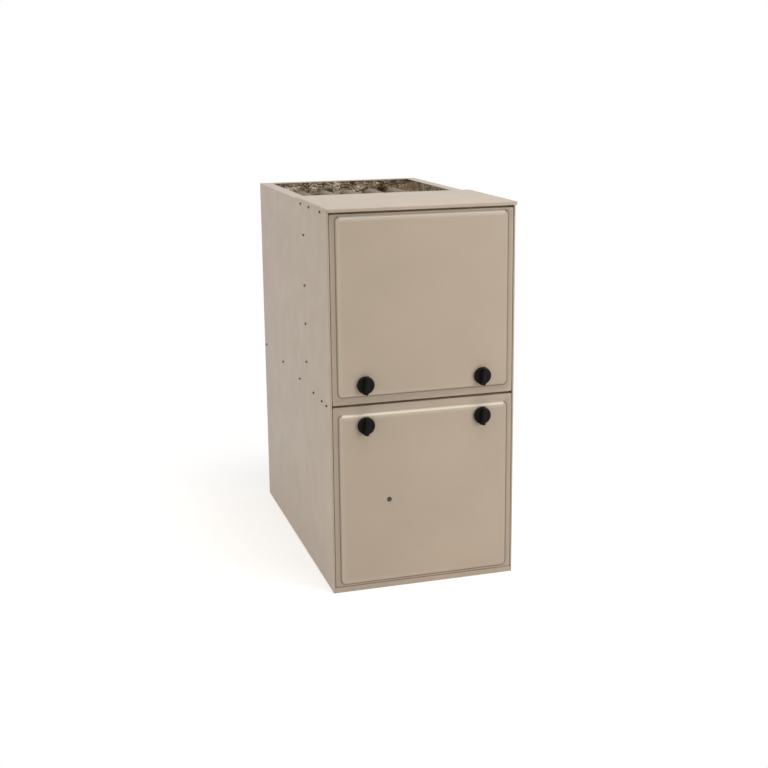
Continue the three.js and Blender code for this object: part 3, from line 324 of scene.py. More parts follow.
def blank_finish(name):
    material = bpy.data.materials.new(name)
    material.use_nodes = True
    tree = material.node_tree
    tree.nodes.clear()
    shader = add_node(tree, "ShaderNodeBsdfPrincipled")
    add_node(tree, "ShaderNodeOutputMaterial", {"Surface": shader.outputs[0]})
    where = add_node(tree, "ShaderNodeTexCoord").outputs["Object"]
    return material, tree, shader, where


def use_group(tree, group, **inputs):
    return add_node(tree, "ShaderNodeGroup", inputs, node_tree=group).outputs


def blended(tree, mask, first, second, way="MIX"):
    mix = add_node(tree, "ShaderNodeMix", {"Factor": mask, "A": first, "B": second},
                   data_type="RGBA", blend_type=way)
    return mix.outputs["Result"]


def tinted(tree, colour, tone):
    """The colour multiplied by a tone that changes over the surface."""
    return blended(tree, 1.0, colour, tone, "MULTIPLY")


def bumped(tree, shader, height, strength, distance):
    bump = add_node(tree, "ShaderNodeBump", {"Height": height, "Strength": strength, "Distance": distance})
    tree.links.new(bump.outputs[0], shader.inputs["Normal"])


def painted(name, colour, roughness, coat=0.0, peel_size=0.0016, peel=0.35, dust=0.25, clouds=0.035):
    """Paint stoved on steel: a faint cloudiness, orange peel and dust on its ledges, with painted shade and
    a painted highlight where a piece's attributes call for them.
    """
    material, tree, shader, where = blank_finish(name)
    tone = use_group(tree, cloudy_tone, Vector=where, Scale=5.0, Low=1 - clouds, High=1 + clouds)["Tone"]
    skin = use_group(tree, orange_peel, Vector=where, Size=peel_size)
    fleck = add_node(tree, "ShaderNodeMapRange", {"Value": skin["Speck"], "To Min": 0.985, "To Max": 1.012})
    paint = tinted(tree, srgb(*colour), reckoned(tree, "MULTIPLY", tone, fleck.outputs[0]))
    # Painted shade: where the doors mark it, the paint darkens towards a dark brown.
    painted_shade = add_node(tree, "ShaderNodeAttribute", attribute_name="painted_shade").outputs["Fac"]
    paint = blended(tree, painted_shade, paint, srgb(74, 62, 48))
    # Painted highlight: where the doors mark it, the paint lightens towards a pale cream.
    painted_highlight = add_node(tree, "ShaderNodeAttribute", attribute_name="painted_highlight").outputs["Fac"]
    paint = blended(tree, painted_highlight, paint, srgb(250, 243, 228))
    mask = use_group(tree, settled_dust, Vector=where, Amount=dust)["Mask"]
    tree.links.new(blended(tree, mask, paint, srgb(214, 206, 192)), shader.inputs["Base Color"])
    smear = use_group(tree, cloudy_tone, Vector=where, Scale=17.0, Low=roughness - 0.05,
                      High=roughness + 0.06)["Tone"]
    tree.links.new(reckoned(tree, "ADD", mask, smear), shader.inputs["Roughness"])
    shader.inputs["Coat Weight"].default_value = coat
    shader.inputs["Coat Roughness"].default_value = 0.14
    bumped(tree, shader, skin["Height"], peel, 0.00012)
    return material


beige_enamel = painted("beige_enamel", (193, 176, 157), 0.5, coat=0.2)
beige_enamel.node_tree.nodes["Principled BSDF"].inputs["Specular IOR Level"].default_value = 0.35

casing_half = 220.0
casing_back = 749.0
casing_top = 884.0
nose_inner = 216.0
return_end = 196.0
return_depth = 19.0
duct_start = 305.3
duct_width = 30.0
foot_width = 20.0
corner_radius = 2.6
edge_fold = 1.8
sheet = 1.0


def casing_plan():
    """The outside of the casing in plan, from the left return flange round to the right one."""
    left = filleted([(-return_end, return_depth), (-nose_inner, return_depth), (-nose_inner, 0),
                     (-casing_half, 0), (-casing_half, return_depth)], 1.2, steps=5, hold=0.12)
    side = [Vector((-casing_half, d)) for d in (duct_start - 0.01, duct_start)]
    corner = filleted([(-casing_half, casing_back - 40), (-casing_half, casing_back),
                       (-casing_half + 40, casing_back)], corner_radius, steps=6, hold=0.6)
    half = left + side + corner
    return half + [Vector((-p.x, p.y)) for p in reversed(half)]


def inset_plan(point, inset):
    """A point of the plan moved inwards, round the back corners and then along their mitres."""
    side = -1 if point.x < 0 else 1
    across = casing_half - abs(point.x)
    behind = casing_back - point.y
    if across < corner_radius and behind < corner_radius:
        if inset >= corner_radius:
            return (side * (casing_half - inset), casing_back - inset)
        centre = Vector((side * (casing_half - corner_radius), casing_back - corner_radius))
        moved = centre + (Vector(point) - centre) * ((corner_radius - inset) / corner_radius)
        return (moved.x, moved.y)
    if behind < 0.01:
        return (max(min(point.x, casing_half - inset), inset - casing_half), casing_back - inset)
    return (side * (casing_half - inset), min(point.y, casing_back - inset))


plan = casing_plan()
casing_shape = bmesh.new()


def has_duct(p):
    return p.y > duct_start - 0.005


def has_foot(p):
    return p.y > return_depth - 0.005 and abs(p.x) > nose_inner + 2 or p.y > 30


wall_low = [metres(p.x, p.y, edge_fold if has_foot(p) else 0.0) for p in plan]
wall_high = [metres(p.x, p.y, casing_top - edge_fold if has_duct(p) else casing_top) for p in plan]
wall_rows = [wall_low]
for share in (0.004, 0.25, 0.5, 0.75, 0.996):
    wall_rows.append([a.lerp(b, share) for a, b in zip(wall_low, wall_high)])
wall_rows.append(wall_high)
loft(casing_shape, wall_rows)
for keeps, edge_z, inward, width in ((has_duct, casing_top, -1, duct_width),
                                     (has_foot, 0.0, 1, foot_width)):
    run = [p for p in plan if keeps(p)]
    profile = [(edge_fold - edge_fold * math.cos(a), edge_z + inward * edge_fold * (1 - math.sin(a)))
               for a in [math.pi / 2 * i / 5 for i in range(6)]]
    profile += [(edge_fold + 0.3, edge_z), (width, edge_z)]
    rings = [[metres(*inset_plan(p, inset), z) for p in run] for inset, z in profile]
    loft(casing_shape, rings if inward < 0 else rings[::-1])
casing = make_piece("casing", casing_shape, beige_enamel, wall=sheet / 1000, flip=True)
fit(casing, "cabinet", "casing_paint", "casing_wrap")

# ---- The top plate ----
# A painted steel pan over the front third of the cabinet. Its front lip overhangs the upper door,
# its sides rest on the casing and tuck inside it, and a header closes the gap above the door.
plate_half = 222.0
plate_front = -8.0
plate_back = 305.0
plate_top = 889.0
plate_lip = 881.0
plate_ledge = 884.3
plate_fold = 2.8
tuck_x = 218.7
header_depth = 20.3
header_half = 217.5


def rounded_loop(x0, x1, y0, y1, radii, steps=6, hold=0.5):
    """A closed outline with its own radius at each corner: low left, low right, high right, high left."""
    corners = [(x0, y0, 180), (x1, y0, 270), (x1, y1, 0), (x0, y1, 90)]
    out = []
    for (cx, cy, start), radius in zip(corners, radii):
        inward = Vector(((1 if cx == x0 else -1) * radius, (1 if cy == y0 else -1) * radius))
        centre = Vector((cx, cy)) + inward
        arc = []
        for step in range(steps + 1):
            angle = math.radians(start + 90 * step / steps)
            arc.append(centre + Vector((math.cos(angle), math.sin(angle))) * radius)
        first = Vector((math.cos(math.radians(start - 90)), math.sin(math.radians(start - 90))))
        last = Vector((math.cos(math.radians(start + 180)), math.sin(math.radians(start + 180))))
        out += [arc[0] + first * hold] + arc + [arc[-1] + last * hold]
    return out


def upright(outline, depth):
    """An outline of (x, z) points, stood up at a depth."""
    return [metres(p.x, depth, p.y) for p in outline]


def drawn_out(shape, section, xs):
    """Draws a section of (depth, z) points out sideways, from each x to the next."""
    loft(shape, [[metres(x, p.x, p.y) for p in section] for x in xs])


plate_shape = bmesh.new()
plate_rows = []
quarter = [math.pi / 2 * i / 6 for i in range(7)]
plate_profile = [(0.0, None), (0.0, plate_top - plate_fold - 0.2)]
plate_profile += [(plate_fold * (1 - math.cos(a)), plate_top - plate_fold * (1 - math.sin(a)))
                  for a in quarter]
plate_profile += [(plate_fold + 0.5, plate_top)]
for inset, z in plate_profile:
    corner = max(4.0 - inset, 0.8)
    outline = rounded_loop(-plate_half + inset, plate_half - inset, plate_front + inset, plate_back - inset,
                           (corner, corner, max(2 - inset, 0.4), max(2 - inset, 0.4)))
    row = []
    for p in outline:
        low = plate_lip if p.y < plate_front + 3.9 else plate_ledge
        row.append(metres(p.x, p.y, low if z is None else z))
    plate_rows.append(row)
loft(plate_shape, plate_rows, closed=True, cap_end=True)
for side in (-1, 1):
    tuck = filleted([(side * plate_half, plate_ledge), (side * tuck_x, plate_ledge), (side * tuck_x, 868)],
                    0.8)
    rings = [upright(tuck, depth) for depth in (header_depth, plate_back)]
    loft(plate_shape, rings if side < 0 else rings[::-1])
header = filleted([(header_depth, 861), (header_depth, plate_top - 1.2),
                   (header_depth + 14, plate_top - 1.2)], 2)
drawn_out(plate_shape, header, (header_half, -header_half))
hem = filleted([(plate_back, plate_ledge), (plate_back, 874), (plate_back - 8, 874)], 1.5)
drawn_out(plate_shape, hem, (header_half, -header_half))
top_plate = make_piece("top_plate_cover", plate_shape, beige_enamel, wall=sheet / 1000)
fit(top_plate, "cabinet", "casing_paint", "top_plate")

# ---- The base rail ----
# A low channel of the same painted steel between the two noses, under the lower door.
rail_half = 215.7
rail_back = 18.7
rail_high = 13.0
rail_section = filleted([(rail_back, 0), (0, 0), (0, rail_high), (rail_back, rail_high)], 1.6, hold=0.2)
rail_shape = bmesh.new()
drawn_out(rail_shape, rail_section, (rail_half, rail_half - 0.3, -rail_half + 0.3, -rail_half))
rail = make_piece("base_rail_channel", rail_shape, beige_enamel, wall=sheet / 1000)
fit(rail, "cabinet", "casing_paint", "base_rail")

# ---- The doors ----
# Each door is a pan of painted steel with returned edges and a large raised field, pressed with
# a short slope all round. The two meet in a narrow dark seam, where the deck lies behind them.
door_half = 215.0
door_depth = 18.7
door_corner = 4.0
field_half = 203.0
field_rise = 5.0
field_corner = 12.0
# Where the painted shade lies on the doors' slopes, and how dark the painted shade on the margins is.
crease_shade_at = 0.2
crease_shade_width = 1.9
# Where the painted highlight lies on the fields' slopes.
highlight_at = 3.6
highlight_width = 3.8
margin_shade = 0.14


def turned_rings(profile, count, centre, axis="y"):
    """Rings of a turned piece: profile points are (radius, place along the axis)."""
    rings = []
    for radius, along in profile:
        ring = []
        for i in range(count):
            angle = 2 * math.pi * i / count
            a, b = radius * math.cos(angle), radius * math.sin(angle)
            offset = {"y": (a, along, -b), "x": (along, a, b), "z": (a, b, along)}[axis]
            ring.append(metres(*[c + o for c, o in zip(centre, offset)]))
        rings.append(ring)
    return rings


def outward(shape):
    bmesh.ops.recalc_face_normals(shape, faces=shape.faces)


def carved(piece, cutters):
    """Takes the cutters' shape out of a piece."""
    outward(cutters)
    mesh = bpy.data.meshes.new("cutters")
    cutters.to_mesh(mesh)
    cutters.free()
    tool = in_scene("cutters", mesh)
    cut = piece.modifiers.new("cuts", "BOOLEAN")
    cut.operation = "DIFFERENCE"
    cut.solver = "EXACT"
    cut.object = tool
    plain_copy(piece)
    bpy.data.objects.remove(tool)
    bpy.data.meshes.remove(mesh)
    return piece


def bored(piece, holes, near=-12.0, far=34.0):
    """Cuts round holes along the depth of a piece; each is (x, z, radius) in millimetres."""
    cutters = bmesh.new()
    for x, z, radius in holes:
        rings = turned_rings([(radius, near), (radius, far)], 28, (x, 0, z))
        loft(cutters, rings, closed=True, cap_start=True, cap_end=True)
    return carved(piece, cutters)


def door(name, body, node, low, high, field_low, field_high, holes):
    shape = bmesh.new()
    # A vertex layer of painted shade: darker at the foot of the field's slope and on the margins.
    shade_layer = shape.verts.layers.float.new("painted_shade")
    # A vertex layer of painted highlight along the top slope of each field, fainter on its left slope.
    highlight_layer = shape.verts.layers.float.new("painted_highlight")
    rows = []
    marks = []

    def ring(half, z0, z1, inset, corner, depth, foot_shade=0.0):
        radius = max(corner - inset, 0.6)
        outline = rounded_loop(-half + inset, half - inset, z0 + inset, z1 - inset, [radius] * 4, steps=8)
        rows.append(upright(outline, depth))
        slope_share = max(0.0, 1 - abs(inset - highlight_at) / highlight_width) if half == field_half else 0.0
        for_row = []
        for p in outline:
            at_top = p.y > z1 - inset - 0.5 and half == field_half
            # Painted highlight: full on the top slope, fainter on the left slope.
            wear_and_highlight = slope_share * (1.0 if at_top else 0.3 * (p.x < 0))
            # Painted shade at the foot of the slope, faint along its top, and painted shade on the margins
            # except right of the field.
            dulling_and_shade = foot_shade * (0.15 if at_top else 1.0)
            if not foot_shade and (inset < 0 or half == door_half) and p.x < field_half:
                dulling_and_shade = margin_shade
            for_row.append((dulling_and_shade, wear_and_highlight))
        marks.append(for_row)

    edge = filleted([(11, door_depth), (0, door_depth), (0, 0), (11, 0)], 1.7, steps=6, hold=0.3)
    for inset, depth in edge[:-1]:
        ring(door_half, low, high, inset, door_corner, depth)
    slope = filleted([(-3, 0), (0, 0), (field_rise, -field_rise), (field_rise + 9, -field_rise)],
                     2.4, steps=6, hold=0.3)
    # Each slope ring gets painted shade by how near it is to the slope's foot.
    for inset, depth in slope[1:]:
        ring(field_half, field_low, field_high, inset, field_corner, depth,
             foot_shade=0.9 * max(0.0, 1 - abs(inset - crease_shade_at) / crease_shade_width))
    for verts, for_row in zip(loft(shape, rows, closed=True, cap_end=True), marks):
        for vert, (dulling_and_shade, wear_and_highlight) in zip(verts, for_row):
            vert[shade_layer] = dulling_and_shade
            vert[highlight_layer] = wear_and_highlight
    piece = make_piece(name, shape, beige_enamel, wall=sheet / 1000)
    bored(piece, holes)
    return fit(piece, body, "casing_paint", node)


upper_span = (447.0, 876.0)
lower_span = (14.0, 442.0)
shaft_hole = 4.8
knob_x = 139.5
knob_zs = {"upper": 491.7, "lower": 397.3}
sight_x = -85.6
sight_z = 216.6
sight_radius = 6.0


def latch_holes(level, radius):
    return [(x, knob_zs[level], radius) for x in (-knob_x, knob_x)]


door("upper_door_pan", "upper_door", "upper_door", *upper_span, 464.0, 872.0,
     latch_holes("upper", shaft_hole))
door("lower_door_pan", "lower_door", "lower_door", *lower_span, 19.0, 425.0,
     latch_holes("lower", shaft_hole) + [(sight_x, sight_z, sight_radius - 0.4)])

# ---- The knobs ----
# Four quarter turn latches of black moulded nylon: a domed disc with a waisted grip across it.
# The shaft goes through door and liner, and its cam turns behind the keeper.
knob_radius = 20.0
disc_height = 8.0
grip_reach = 20.6
knob_turn = math.radians(-7)


def moulded(name, colour, roughness, grain=0.0009, bump=0.3):
    """Moulded plastic or rubber: a spark-eroded grain, worn a little smoother in patches."""
    material, tree, shader, where = blank_finish(name)
    skin = use_group(tree, orange_peel, Vector=where, Size=grain)
    tone = use_group(tree, cloudy_tone, Vector=where, Scale=60.0, Low=0.85, High=1.2)["Tone"]
    base = tinted(tree, srgb(*colour), tone)
    mask = use_group(tree, settled_dust, Vector=where, Amount=0.12)["Mask"]
    tree.links.new(blended(tree, mask, base, srgb(128, 120, 108)), shader.inputs["Base Color"])
    wear_and_highlight = use_group(tree, cloudy_tone, Vector=where, Scale=110.0, Low=roughness - 0.08,
                     High=roughness + 0.08)["Tone"]
    tree.links.new(wear_and_highlight, shader.inputs["Roughness"])
    bumped(tree, shader, skin["Height"], bump, 0.00015)
    return material


black_nylon = moulded("black_nylon", (10, 9, 7), 0.6)
black_nylon.node_tree.nodes["Principled BSDF"].inputs["Specular IOR Level"].default_value = 0.14


def lathe(shape, profile, centre, axis="y", count=48, radius=0.0, steps=4, cap_start=True, cap_end=True):
    line = filleted(profile, radius, steps=steps, hold=0.15) if radius else profile
    rings = turned_rings([(p[0], p[1]) for p in line], count, centre, axis)
    return loft(shape, rings, closed=True, cap_start=cap_start, cap_end=cap_end)


def knob(name, body, node, x, z):
    shape = bmesh.new()
    face = -field_rise
    # The disc from its back rim to the middle of its face, a little domed.
    dome = [(4.5, face - 0.3), (knob_radius, face - 0.3), (knob_radius, face - disc_height + 1.0),
            (knob_radius - 4.5, face - disc_height), (0.4, face - disc_height - 0.3)]
    lathe(shape, dome, (x, 0, z), radius=1.1, count=56)
    shaft = [(4.5, face), (4.5, 27.3), (0.3, 27.3)]
    lathe(shape, shaft, (x, 0, z), count=24)
    turn_back = Matrix.Rotation(knob_turn, 2)
    # The grip: sections of a waisted bar, drafted towards its crest and rounded over.
    sections = [(1.16, 0.0), (1.05, 1.0), (1.0, 3.0), (0.97, 9.0), (0.93, 11.0), (0.82, 12.3), (0.6, 13.0)]
    rings = []
    for scale, rise in sections:
        ring = []
        for i in range(56):
            angle = 2 * math.pi * i / 56
            c, s = math.cos(angle), math.sin(angle)
            across = 7.2 * math.copysign(abs(c) ** 0.62, c)
            along = grip_reach * math.copysign(abs(s) ** 0.62, s)
            across *= 0.74 + 0.26 * (along / grip_reach) ** 2
            spread = 1 - (1 - scale) * (7.2 / grip_reach)
            flat = turn_back @ Vector((across * scale, along * spread))
            ring.append(metres(x + flat.x, face - disc_height + 1 - rise, z + flat.y))
        rings.append(ring)
    loft(shape, rings, closed=True, cap_start=True, cap_end=True)
    # The cam, a rounded bar behind the keeper.
    cam = rounded_loop(x - 4, x + 4, z - 13, z + 13, [3] * 4, steps=5, hold=0.2)
    cam_rings = [[metres(x + (p.x - x) * k, depth, z + (p.y - z) * k) for p in cam]
                 for k, depth in ((0.94, 23.4), (1, 23.7), (1, 25.9), (0.94, 26.2))]
    loft(shape, cam_rings, closed=True, cap_start=True, cap_end=True)
    outward(shape)
    return fit(make_piece(name, shape, black_nylon, sharp=50), body, "black_plastic", node)


for level, z in knob_zs.items():
    for side, x in (("left", -knob_x), ("right", knob_x)):
        knob(f"knob_{level}_{side}_grip", f"knob_{level}_{side}", f"door_knob_{level}_{side}", x, z)

# ---- The sight glass ----
# A small oblong lens of dark glass in a thin black rim, snapped into the lower door. The lamp of
# the circuit board is seen through it.
smoked, smoked_tree, smoked_shader, smoked_where = blank_finish("smoked_glass")
smoked_tone = use_group(smoked_tree, cloudy_tone, Vector=smoked_where, Scale=300.0, Low=0.8,
                        High=1.25)["Tone"]
smoked_tree.links.new(tinted(smoked_tree, srgb(30, 27, 25), smoked_tone),
                      smoked_shader.inputs["Base Color"])
smoked_shader.inputs["Roughness"].default_value = 0.08
smoked_shader.inputs["Coat Weight"].default_value = 0.6
glass_shape = bmesh.new()
face = -field_rise
lens_tall = 0.62
lens = [(sight_radius - 1.0, 3.0), (sight_radius - 1.0, face - 0.35), (sight_radius - 0.3, face - 0.35),
        (sight_radius - 0.3, face - 1.1), (sight_radius - 1.0, face - 1.4),
        (sight_radius - 1.6, face - 0.8), (0.3, face - 1.2)]
lathe(glass_shape, lens, (sight_x, 0, sight_z), radius=0.2, count=40)
for vert in glass_shape.verts:
    vert.co.z = sight_z / 1000 + (vert.co.z - sight_z / 1000) * lens_tall
outward(glass_shape)
fit(make_piece("sight_lens", glass_shape, smoked, sharp=45), "lower_door", "smoked_glass", "sight_glass")

# ---- The screws ----
# Hex washer head screws with a dark finish, driven through the casing into the deck, the
# vestibule panel and the tuck of the top plate. Each is turned by its own amount.
deck_screw_z = 440.0
deck_screw_depths = (35, 78, 160, 307, 502, 723)
panel_screw_depth = 228.0
panel_screw_zs = (500, 593, 685, 805)
plate_screws = ((61, 876), (168, 876), (251, 876))

dark_zinc = painted("dark_zinc", (96, 82, 66), 0.42, peel_size=0.0006, dust=0.1)


def socket_id(tree, label):
    for item in tree.interface.items_tree:
        if item.item_type == "SOCKET" and item.in_out == "INPUT" and item.name == label:
            return item.identifier
    raise KeyError(label)


def geometry_group(name, inputs):
    tree = bpy.data.node_groups.new(name, "GeometryNodeTree")
    tree.interface.new_socket("Geometry", in_out="INPUT", socket_type="NodeSocketGeometry")
    for label, value in inputs.items():
        kind = "NodeSocketInt" if isinstance(value, int) else "NodeSocketFloat"
        tree.interface.new_socket(label, in_out="INPUT", socket_type=kind).default_value = value
    tree.interface.new_socket("Geometry", in_out="OUTPUT", socket_type="NodeSocketGeometry")
    return tree, tree.nodes.new("NodeGroupInput").outputs, tree.nodes.new("NodeGroupOutput")


def screw_tree():
    tree, given, result = geometry_group("hex_washer_screws", {
        "Washer radius": 0.0033, "Head radius": 0.0025, "Head height": 0.0024, "Seed": 7})
    washer = add_node(tree, "GeometryNodeMeshCylinder",
                      {"Vertices": 20, "Radius": given["Washer radius"], "Depth": 0.0009})
    hexagon = add_node(tree, "GeometryNodeMeshCone",
                       {"Vertices": 6, "Radius Bottom": given["Head radius"],
                        "Depth": given["Head height"]})
    tree.links.new(reckoned(tree, "MULTIPLY", given["Head radius"], 0.86), hexagon.inputs["Radius Top"])
    head = add_node(tree, "GeometryNodeJoinGeometry")
    tree.links.new(washer.outputs["Mesh"], head.inputs[0])
    tree.links.new(hexagon.outputs["Mesh"], head.inputs[0])
    facing = add_node(tree, "GeometryNodeInputNamedAttribute", {"Name": "facing"}, data_type="FLOAT_VECTOR")
    aim = add_node(tree, "FunctionNodeAlignRotationToVector", {"Vector": facing.outputs["Attribute"]})
    spin = add_node(tree, "FunctionNodeRandomValue", {"Seed": given["Seed"]}, data_type="FLOAT")
    spin.inputs[3].default_value = 6.283
    around = add_node(tree, "ShaderNodeCombineXYZ", {"Z": spin.outputs[1]})
    turned = add_node(tree, "FunctionNodeRotateRotation", {"Rotation": aim.outputs[0]},
                      rotation_space="LOCAL")
    tree.links.new(around.outputs[0], turned.inputs["Rotate By"])
    spread = add_node(tree, "GeometryNodeInstanceOnPoints",
                      {"Points": given["Geometry"], "Instance": head.outputs[0],
                       "Rotation": turned.outputs[0]})
    real = add_node(tree, "GeometryNodeRealizeInstances", {"Geometry": spread.outputs[0]})
    dressed = add_node(tree, "GeometryNodeSetMaterial",
                       {"Geometry": real.outputs[0], "Material": dark_zinc})
    tree.links.new(dressed.outputs[0], result.inputs[0])
    return tree


def screws(name, body, spots):
    """spots are pairs of a place in millimetres and the direction that the head faces."""
    mesh = bpy.data.meshes.new(name)
    mesh.from_pydata([metres(*spot) for spot, _ in spots], [], [])
    facing = mesh.attributes.new("facing", "FLOAT_VECTOR", "POINT")
    for i, (_, direction) in enumerate(spots):
        facing.data[i].vector = direction
    piece = in_scene(name, mesh)
    grow = piece.modifiers.new("screws", "NODES")
    grow.node_group = screw_heads
    grow[socket_id(screw_heads, "Seed")] = len(spots)
    plain_copy(piece)
    coated(piece.data, dark_zinc)
    return fit(piece, body, "galvanised_steel")


screw_heads = screw_tree()
screw_stand = 0.4
casing_spots = []
for side in (-1, 1):
    outside = side * (casing_half + screw_stand)
    facing_out = (side, 0, 0)
    casing_spots += [((outside, depth, deck_screw_z), facing_out) for depth in deck_screw_depths]
    casing_spots += [((outside, panel_screw_depth, z), facing_out) for z in panel_screw_zs]
    casing_spots += [((outside, depth, z), facing_out) for depth, z in plate_screws]
casing_spots += [((x, casing_back + screw_stand, deck_screw_z), (0, 1, 0)) for x in (-165, -55, 55, 165)]
screws("casing_screws", "cabinet", casing_spots)

# ---- The insulation ----
# Glass wool faced with thin aluminium foil, against the three walls round the heat exchanger.
# The foil is crumpled from handling, and it is what shines just below the supply opening.
blanket_inner = 206.7
blanket_outer = 218.4
blanket_front = 236.4
blanket_back = 735.7
blanket_low = 450.5
blanket_high = 882.6


def foil_finish():
    material, tree, shader, where = blank_finish("crumpled_foil")
    broad = add_node(tree, "ShaderNodeTexNoise", {"Vector": where, "Scale": 17.0, "Detail": 5,
                                                  "Roughness": 0.55})
    wander = add_node(tree, "ShaderNodeVectorMath", {0: broad.outputs["Color"], 1: (0.02, 0.02, 0.02)},
                      operation="MULTIPLY")
    bent = add_node(tree, "ShaderNodeVectorMath", {0: where, 1: wander.outputs[0]}, operation="ADD")
    creases = add_node(tree, "ShaderNodeTexVoronoi", {"Vector": bent.outputs[0], "Scale": 60.0},
                       feature="DISTANCE_TO_EDGE")
    facets = add_node(tree, "ShaderNodeTexVoronoi", {"Vector": bent.outputs[0], "Scale": 60.0})
    facet = add_node(tree, "ShaderNodeSeparateColor", {0: facets.outputs["Color"]}).outputs[0]
    fold = add_node(tree, "ShaderNodeMapRange", {"Value": creases.outputs["Distance"], "From Max": 0.12})
    height = reckoned(tree, "ADD", fold.outputs[0], broad.outputs["Fac"])
    # Painted reflection: the foil's colour runs from dark brown to pale cream by broad patches and by a
    # brightness given to each facet, standing in for what the crumpled facets mirror.
    reflection_patch = add_node(tree, "ShaderNodeMapRange", {"Value": broad.outputs["Fac"], "From Min": 0.36,
                                                  "From Max": 0.52})
    facet_reflection = add_node(tree, "ShaderNodeMapRange", {"Value": facet, "To Min": 0.35, "To Max": 1.0})
    tone = reckoned(tree, "MULTIPLY", reflection_patch.outputs[0], facet_reflection.outputs[0])
    foil = blended(tree, tone, srgb(112, 86, 58), srgb(255, 241, 212))
    tree.links.new(foil, shader.inputs["Base Color"])
    rough = add_node(tree, "ShaderNodeMapRange",
                     {"Value": broad.outputs["Fac"], "From Min": 0.3, "From Max": 0.7, "To Min": 0.24,
                      "To Max": 0.44})
    tree.links.new(rough.outputs[0], shader.inputs["Roughness"])
    shader.inputs["Metallic"].default_value = 0.5
    bumped(tree, shader, height, 0.7, 0.0014)
    return material


crumpled_foil = foil_finish()
blanket_line = []
column_step = 4.0
for a, b in (((-blanket_inner, blanket_front), (-blanket_inner, blanket_back)),
             ((-blanket_inner, blanket_back), (blanket_inner, blanket_back)),
             ((blanket_inner, blanket_back), (blanket_inner, blanket_front))):
    start, end = Vector(a), Vector(b)
    count = round((end - start).length / column_step)
    along = (end - start).normalized()
    inward = Vector((along.y, -along.x))
    blanket_line += [(start.lerp(end, i / count), inward) for i in range(count)]
blanket_line.append((Vector((blanket_inner, blanket_front)), Vector((-1, 0))))
blanket_zs = [blanket_high - 0.3 - 3.4 * i for i in range(40)]
while blanket_zs[-1] > blanket_low + 20:
    blanket_zs.append(blanket_zs[-1] - 16)
blanket_zs.append(blanket_low)


def crumple(x, depth, z):
    """How far the foil stands in from its mean surface, in millimetres: facets between creases."""
    at = Vector((x, depth, z))
    large = noise.voronoi(at * 0.028)[0]
    small = noise.voronoi(at * 0.085 + Vector((7.3, 1.1, 4.2)))[0]
    swell = noise.noise(at * 0.018)
    return 5.0 * (large[1] - large[0]) + 2.2 * (small[1] - small[0]) + 2.4 * swell - 3.6


blanket_shape = bmesh.new()
inner_rows = []
for row, z in enumerate(blanket_zs):
    ring = []
    for point, inward in blanket_line:
        fade = min(1.0, row / 2.0)
        push = crumple(point.x, point.y, z) * fade + (1 - fade) * -3.0
        ring.append(metres(point.x + inward.x * push, point.y + inward.y * push, z))
    inner_rows.append(ring)
outer_line = []
for point, inward in blanket_line:
    x = max(min(point.x * blanket_outer / blanket_inner, blanket_outer), -blanket_outer)
    depth = 747.2 if abs(point.y - blanket_back) < 0.01 else point.y
    outer_line.append((x, depth))
lip = [metres(x, d, blanket_high) for x, d in outer_line]
low_edge = [metres(x, d, blanket_low) for x, d in outer_line]
loft(blanket_shape, [low_edge, lip] + inner_rows + [low_edge])
blanket = make_piece("foil_blanket", blanket_shape, crumpled_foil, sharp=14)
fit(blanket, "cabinet", "foil_faced_blanket", "insulation_blanket")

# ---- The heat exchanger ----
# Five tubes of aluminised steel, each bent back and forth four times between the burners and the
# collector box. The top passes and the rear bends show through the supply opening.
tube_xs = (-128.0, -64.0, 0.0, 64.0, 128.0)
tube_radius = 19.0
pass_zs = (530.0, 636.0, 742.0, 848.0)
mouth_depth = 232.0
bend_back = 706.0
bend_front = 262.0


def rolled_metal(name, colour, roughness, metallic, spangle=0.0, grain_scale=90.0, heat=0.0):
    """Rolled steel with a metal coat: spangle or a blotchy coat, fine grain and dulled patches."""
    material, tree, shader, where = blank_finish(name)
    tone = use_group(tree, cloudy_tone, Vector=where, Scale=24.0, Low=0.84, High=1.1)["Tone"]
    grain = use_group(tree, orange_peel, Vector=where, Size=0.0011)
    if spangle:
        flakes = add_node(tree, "ShaderNodeTexVoronoi",
                          {"Vector": where, "Scale": grain_scale, "Randomness": 1.0})
        flake = add_node(tree, "ShaderNodeSeparateColor", {0: flakes.outputs["Color"]}).outputs[0]
        shade = add_node(tree, "ShaderNodeMapRange",
                         {"Value": flake, "To Min": 1 - spangle, "To Max": 1 + spangle})
        tone = reckoned(tree, "MULTIPLY", tone, shade.outputs[0])
    base = tinted(tree, srgb(*colour), tone)
    if heat:
        stain = add_node(tree, "ShaderNodeTexNoise",
                         {"Vector": where, "Scale": 9.0, "Detail": 5, "Roughness": 0.65})
        mask = add_node(tree, "ShaderNodeMapRange",
                        {"Value": stain.outputs["Fac"], "From Min": 0.45, "From Max": 0.72, "To Max": heat})
        base = blended(tree, mask.outputs[0], base, srgb(82, 66, 48))
    dust = use_group(tree, settled_dust, Vector=where, Amount=0.2)["Mask"]
    tree.links.new(blended(tree, dust, base, srgb(168, 160, 148)), shader.inputs["Base Color"])
    dulling_and_shade = use_group(tree, cloudy_tone, Vector=where, Scale=31.0, Low=roughness - 0.09,
                     High=roughness + 0.12)["Tone"]
    tree.links.new(dulling_and_shade, shader.inputs["Roughness"])
    shader.inputs["Metallic"].default_value = metallic
    bumped(tree, shader, grain["Height"], 0.22, 0.0002)
    return material


aluminised_steel = rolled_metal("aluminised_steel", (122, 102, 78), 0.52, 0.3, heat=0.75)


